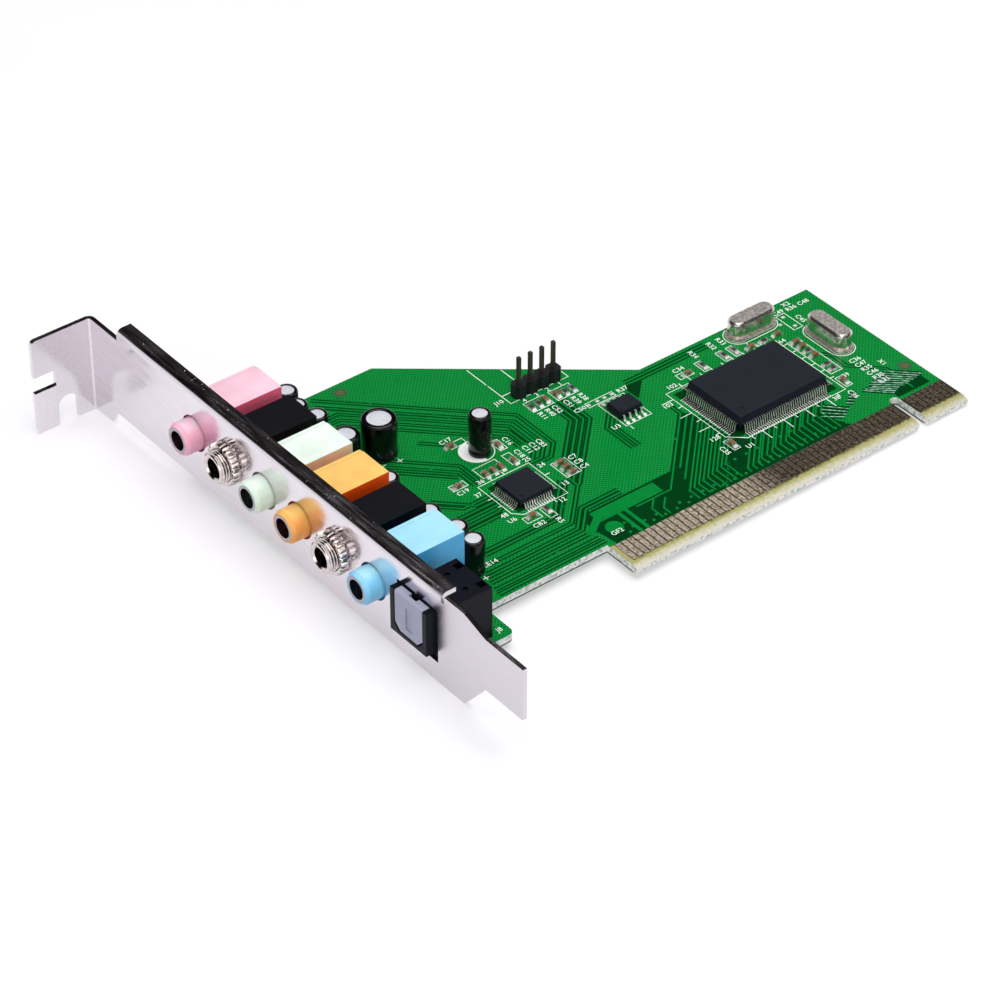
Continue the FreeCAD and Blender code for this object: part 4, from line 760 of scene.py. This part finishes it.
# Legend: white ink screened on the mask, as outlines round the parts, pin ticks and reference letters.
# The ink is matt, a little thin in places, and stands slightly proud.
ink = mottled("screened_white_ink", {"IOR": 1.45, "Roughness": 0.6}, "#e6efe8", "#fdfefd", grains=3.0,
              detail=4.0)
INK_BOXES = [
    (36.5, 64.75, 39.75, 66.25), (42.75, 59.25, 44.25, 62.25), (35.75, 55.0, 40.5, 58.1),
    (42.0, 55.0, 43.6, 58.1), (29.6, 55.25, 32.6, 56.85), (47.0, 46.5, 50.1, 51.1), (34.0, 40.9, 37.1, 42.5),
    (37.9, 39.75, 39.4, 42.75), (54.0, 64.25, 58.5, 67.25), (59.5, 64.25, 64.0, 67.25),
    (62.3, 59.3, 68.3, 60.6), (64.0, 51.4, 69.7, 59.0), (80.0, 55.7, 83.1, 57.2), (84.8, 54.9, 86.2, 57.9),
    (89.7, 54.9, 91.1, 57.9), (92.1, 54.9, 93.5, 57.9), (101.6, 40.7, 104.2, 52.3),
    (105.4, 54.5, 107.4, 59.5), (101.2, 36.3, 102.6, 39.3), (74.0, 34.7, 75.4, 37.7)]
INK_OUTLINES = [oblong(*box) for box in INK_BOXES]
INK_OUTLINES.append([(33.5, 44.75), (35.0, 43.25), (44.4, 43.25), (44.4, 53.75), (33.5, 53.75)])
INK_OUTLINES.append([(75.2, 38.5), (78.1, 35.9), (100.6, 35.9), (100.6, 54.1), (75.2, 54.1)])
INK_OUTLINES.append(ring(39.5, 61.75, 3.1, sides=48))
oval = ring(3.0, 0, 2.6, sides=16, start=-90, sweep=180) + ring(-3.0, 0, 2.6, sides=16, start=90, sweep=180)
INK_OUTLINES.append([(99.4 + x, 59.5 + y) for x, y in oval])
INK_OUTLINES.append([(108.3 - y, 48.6 + x) for x, y in oval])
INK_LINES = [
    [(52.5, 81.0), (52.5, 68.65), (65.25, 68.65), (65.25, 71.0)], [(57.25, 77.5), (57.25, 73.0)],
    [(52.5, 71.25), (54.75, 71.25)], [(19.15, 34.1), (20.35, 34.1)], [(19.75, 33.5), (19.75, 34.7)],
    [(27.15, 67.75), (28.35, 67.75)], [(27.75, 67.15), (27.75, 68.35)], [(25.2, 68.3), (22.6, 68.3)],
    [(32.6, 49.9), (33.5, 49.9)], [(32.8, 47.4), (33.5, 47.4)], [(44.4, 49.4), (45.4, 49.4)],
    [(41.4, 43.25), (41.4, 42.4)], [(36.6, 53.75), (36.6, 54.6)], [(39.2, 53.75), (39.2, 54.6)]]
# ticks round the controller, a long one after each short one
for i in range(9):
    reach, x, y = 2.6 if i % 2 else 1.0, 78.9 + 2.45 * i, 39.9 + 2.45 * i
    INK_LINES += [[(x, 35.9), (x, 35.9 - reach)], [(x, 54.1), (x, 54.1 + reach)]]
    if i < 6:
        INK_LINES += [[(75.2, y), (75.2 - reach, y)], [(100.6, y), (100.6 + 0.9, y)]]
INK_WIDTH, INK_RISE = 0.17, 0.035
hold(ribbons(INK_OUTLINES, INK_WIDTH, INK_RISE, closed=True), "legend_outlines", ink)
hold(ribbons(INK_LINES, INK_WIDTH, INK_RISE), "legend_lines", ink)
hold(sheets([ring(39.5, 61.75, 3.1, sides=24, start=90, sweep=180)], 0.03), "legend_half_disc", ink)

LABELS = [
    ("C17", 37.0, 67.2), ("C19", 30.75, 54.2), ("36", 34.75, 54.6), ("25", 44.75, 54.6), ("24", 45.7, 51.9),
    ("13", 45.7, 45.5), ("12", 42.5, 42.3), ("48", 32.25, 45.0), ("37", 32.25, 52.0), ("U6", 32.5, 43.2),
    ("C7", 51.25, 50.4), ("C8", 51.25, 48.8), ("C4", 51.25, 47.2), ("CB2", 35.4, 39.6), ("CE14", 22.5, 36.6),
    ("J10", 51.0, 70.1), ("4", 54.9, 67.9), ("3", 57.6, 67.9), ("2", 60.0, 67.9), ("1", 62.75, 67.9),
    ("C50", 60.75, 59.9), ("R37", 70.2, 59.9), ("U3", 62.5, 52.2), ("1", 64.5, 50.4), ("C34", 81.5, 58.2),
    ("102", 77.4, 55.1), ("103", 73.3, 51.3), ("65", 97.5, 55.1), ("64", 101.4, 53.3), ("128", 73.5, 39.2),
    ("38", 97.6, 34.9), ("39", 103.4, 38.9), ("U1", 77.0, 34.0), ("X2", 109.4, 61.3), ("C49", 106.6, 60.2),
    ("R36", 109.4, 59.9), ("C48", 112.3, 59.9), ("C36", 107.7, 41.2), ("C47", 107.7, 39.7),
    ("R35", 107.7, 38.2), ("C46", 107.7, 36.7), ("R30", 107.7, 35.2), ("R31", 107.7, 33.7),
    ("J8", 13.3, 22.5), ("GF2", 44.2, 30.05)]
TURNED_LABELS = [
    ("C16", 45.3, 60.75), ("C18", 44.75, 56.75), ("C11", 46.5, 56.75), ("C12", 48.0, 56.75),
    ("C83", 49.5, 56.75), ("R5", 38.75, 38.4), ("R11", 54.6, 62.5), ("R40", 56.2, 62.5), ("C52", 57.7, 62.5),
    ("C51", 60.25, 62.5), ("R39", 61.9, 62.5), ("R38", 63.5, 62.5), ("R34", 86.4, 60.0), ("R32", 90.6, 60.0),
    ("R33", 92.8, 60.0), ("C45", 108.6, 56.4), ("X1", 110.9, 37.7), ("C35", 72.6, 35.6), ("C36", 100.6, 34.0)]
LETTER_SIZE, LETTER_HALF, LETTER_LIFT = 1.45, 0.012, 0.025  # height, half the ink's thickness, its middle
words = []
for (text, x, y), turn in [(label, 0) for label in LABELS] + [(label, -90) for label in TURNED_LABELS]:
    letters = bpy.data.curves.new("letters", "FONT")
    letters.body = text
    letters.size = LETTER_SIZE * MM
    letters.align_x = "CENTER"
    letters.align_y = "CENTER"
    letters.resolution_u = 2
    letters.extrude = LETTER_HALF * MM
    word = as_mesh(letters)
    word.matrix_world = Matrix.Translation(at(x, y, LETTER_LIFT)) @ Matrix.Rotation(math.radians(turn), 4,
                                                                                    "Z")
    words.append(word)
hold(join(words), "legend_letters", ink)

# Aiming marks: two copper dots that the placing machine looks for, each in a ring free of copper.
# The ring shows dark laminate through the mask, and the lacquered dot is dull brown.
laminate = mottled("bare_laminate", {"IOR": 1.5, "Roughness": 0.35}, "#14542a", "#2c7040", grains=2.4,
                   detail=4.0)
copper = mottled("lacquered_copper", {"Metallic": 0.3, "Roughness": 0.4}, "#524228", "#8c6d46", grains=2.0,
                 detail=3.0)
AIMS = [(31.25, 89.5), (113.3, 34.5)]
hold(sheets([ring(x, y, 1.4) for x, y in AIMS], 0.02), "aiming_rings", laminate)
hold(sheets([ring(x, y, 0.6, sides=20) for x, y in AIMS], 0.04), "aiming_dots", copper)

# Studio: a white sheet under the card, a soft box overhead and a fill, and a pale surround, dark above.
# The camera stands where the photograph was taken, with a long lens.
REST_HEIGHT, REST_X, REST_Y = -2.67, 0.0141, -0.0293  # the card settles on this plane: its height and slopes
bpy.ops.mesh.primitive_plane_add(size=6.0, location=at(0, 0, REST_HEIGHT),
                                 rotation=Vector((-REST_X, -REST_Y, 1)).to_track_quat("Z", "Y").to_euler())
bpy.ops.object.transform_apply(location=True, rotation=True, scale=True)
floor = bpy.context.object
floor.name = "floor"
sweep, tree, surface, place = start_material("white_paper", {"Roughness": 0.9, "Specular IOR Level": 0.0})
grain = add_node(tree, "TexNoise", {"Vector": place, "Scale": 0.02, "Detail": 2.0})
add_node(tree, "Mix", {"Factor": grain, "A": linear("#bab8bd"), "B": linear("#c0bec3")},
         surface.inputs["Base Color"], data_type="RGBA")
FLOOR_GLOW = 0.47  # what the camera and reflections see beyond the lit paper
path = add_node(tree, "LightPath")
seen = add_node(tree, "Math", {0: path.outputs["Is Camera Ray"], 1: path.outputs["Is Glossy Ray"]},
                operation="MAXIMUM")
seen = add_node(tree, "Math", {0: seen, 1: path.outputs["Is Transmission Ray"]}, operation="MAXIMUM")
add_node(tree, "Math", {0: seen, 1: FLOOR_GLOW}, surface.inputs["Emission Strength"], operation="MULTIPLY")
surface.inputs["Emission Color"].default_value = (1, 1, 1, 1)
floor.data.materials.append(sweep)

world = bpy.data.worlds.new("studio")
bpy.context.scene.world = world
world.use_nodes = True
tree = world.node_tree
upward = add_node(tree, "SeparateXYZ", {"Vector": add_node(tree, "TexCoord").outputs["Generated"]})
band = add_node(tree, "MapRange", {"Value": upward.outputs["Z"], "From Min": 0.22, "From Max": 0.42})
add_node(tree, "Mix", {"Factor": band, "A": (0.95, 0.95, 1.0, 1), "B": linear("#120b0c")},
         tree.nodes["Background"].inputs["Color"], data_type="RGBA")

SOFTBOX_SPOT, FILL_SPOT = Vector((0.12, -0.05, 0.8)), Vector((-0.62, -0.5, 0.36))
FILL_TURN = FILL_SPOT.to_track_quat("Z", "Y").to_euler()
for spot, turn, size, energy in ((SOFTBOX_SPOT, (0, 0, 0), 0.9, 8.7), (FILL_SPOT, FILL_TURN, 0.8, 3.0)):
    bpy.ops.object.light_add(type="AREA", location=spot, rotation=turn)
    lamp = bpy.context.object.data
    lamp.shape = "SQUARE"
    lamp.size = size
    lamp.energy = energy

CAMERA_SPOT = at(-277.84, -344.27, 394.54)
CAMERA_AIM = Vector((0.48891, 0.61566, -0.61800))
FOCAL_PIXELS, PICTURE_PIXELS, SENSOR = 3822.3, 1000, 36.0
bpy.ops.object.camera_add(location=CAMERA_SPOT, rotation=CAMERA_AIM.to_track_quat("-Z", "Y").to_euler())
camera = bpy.context.object
camera.data.sensor_width = SENSOR
camera.data.lens = FOCAL_PIXELS / PICTURE_PIXELS * SENSOR
camera.data.clip_start = 0.01
camera.data.clip_end = 20.0
bpy.context.scene.camera = camera
bpy.context.scene.view_settings.view_transform = "Standard"
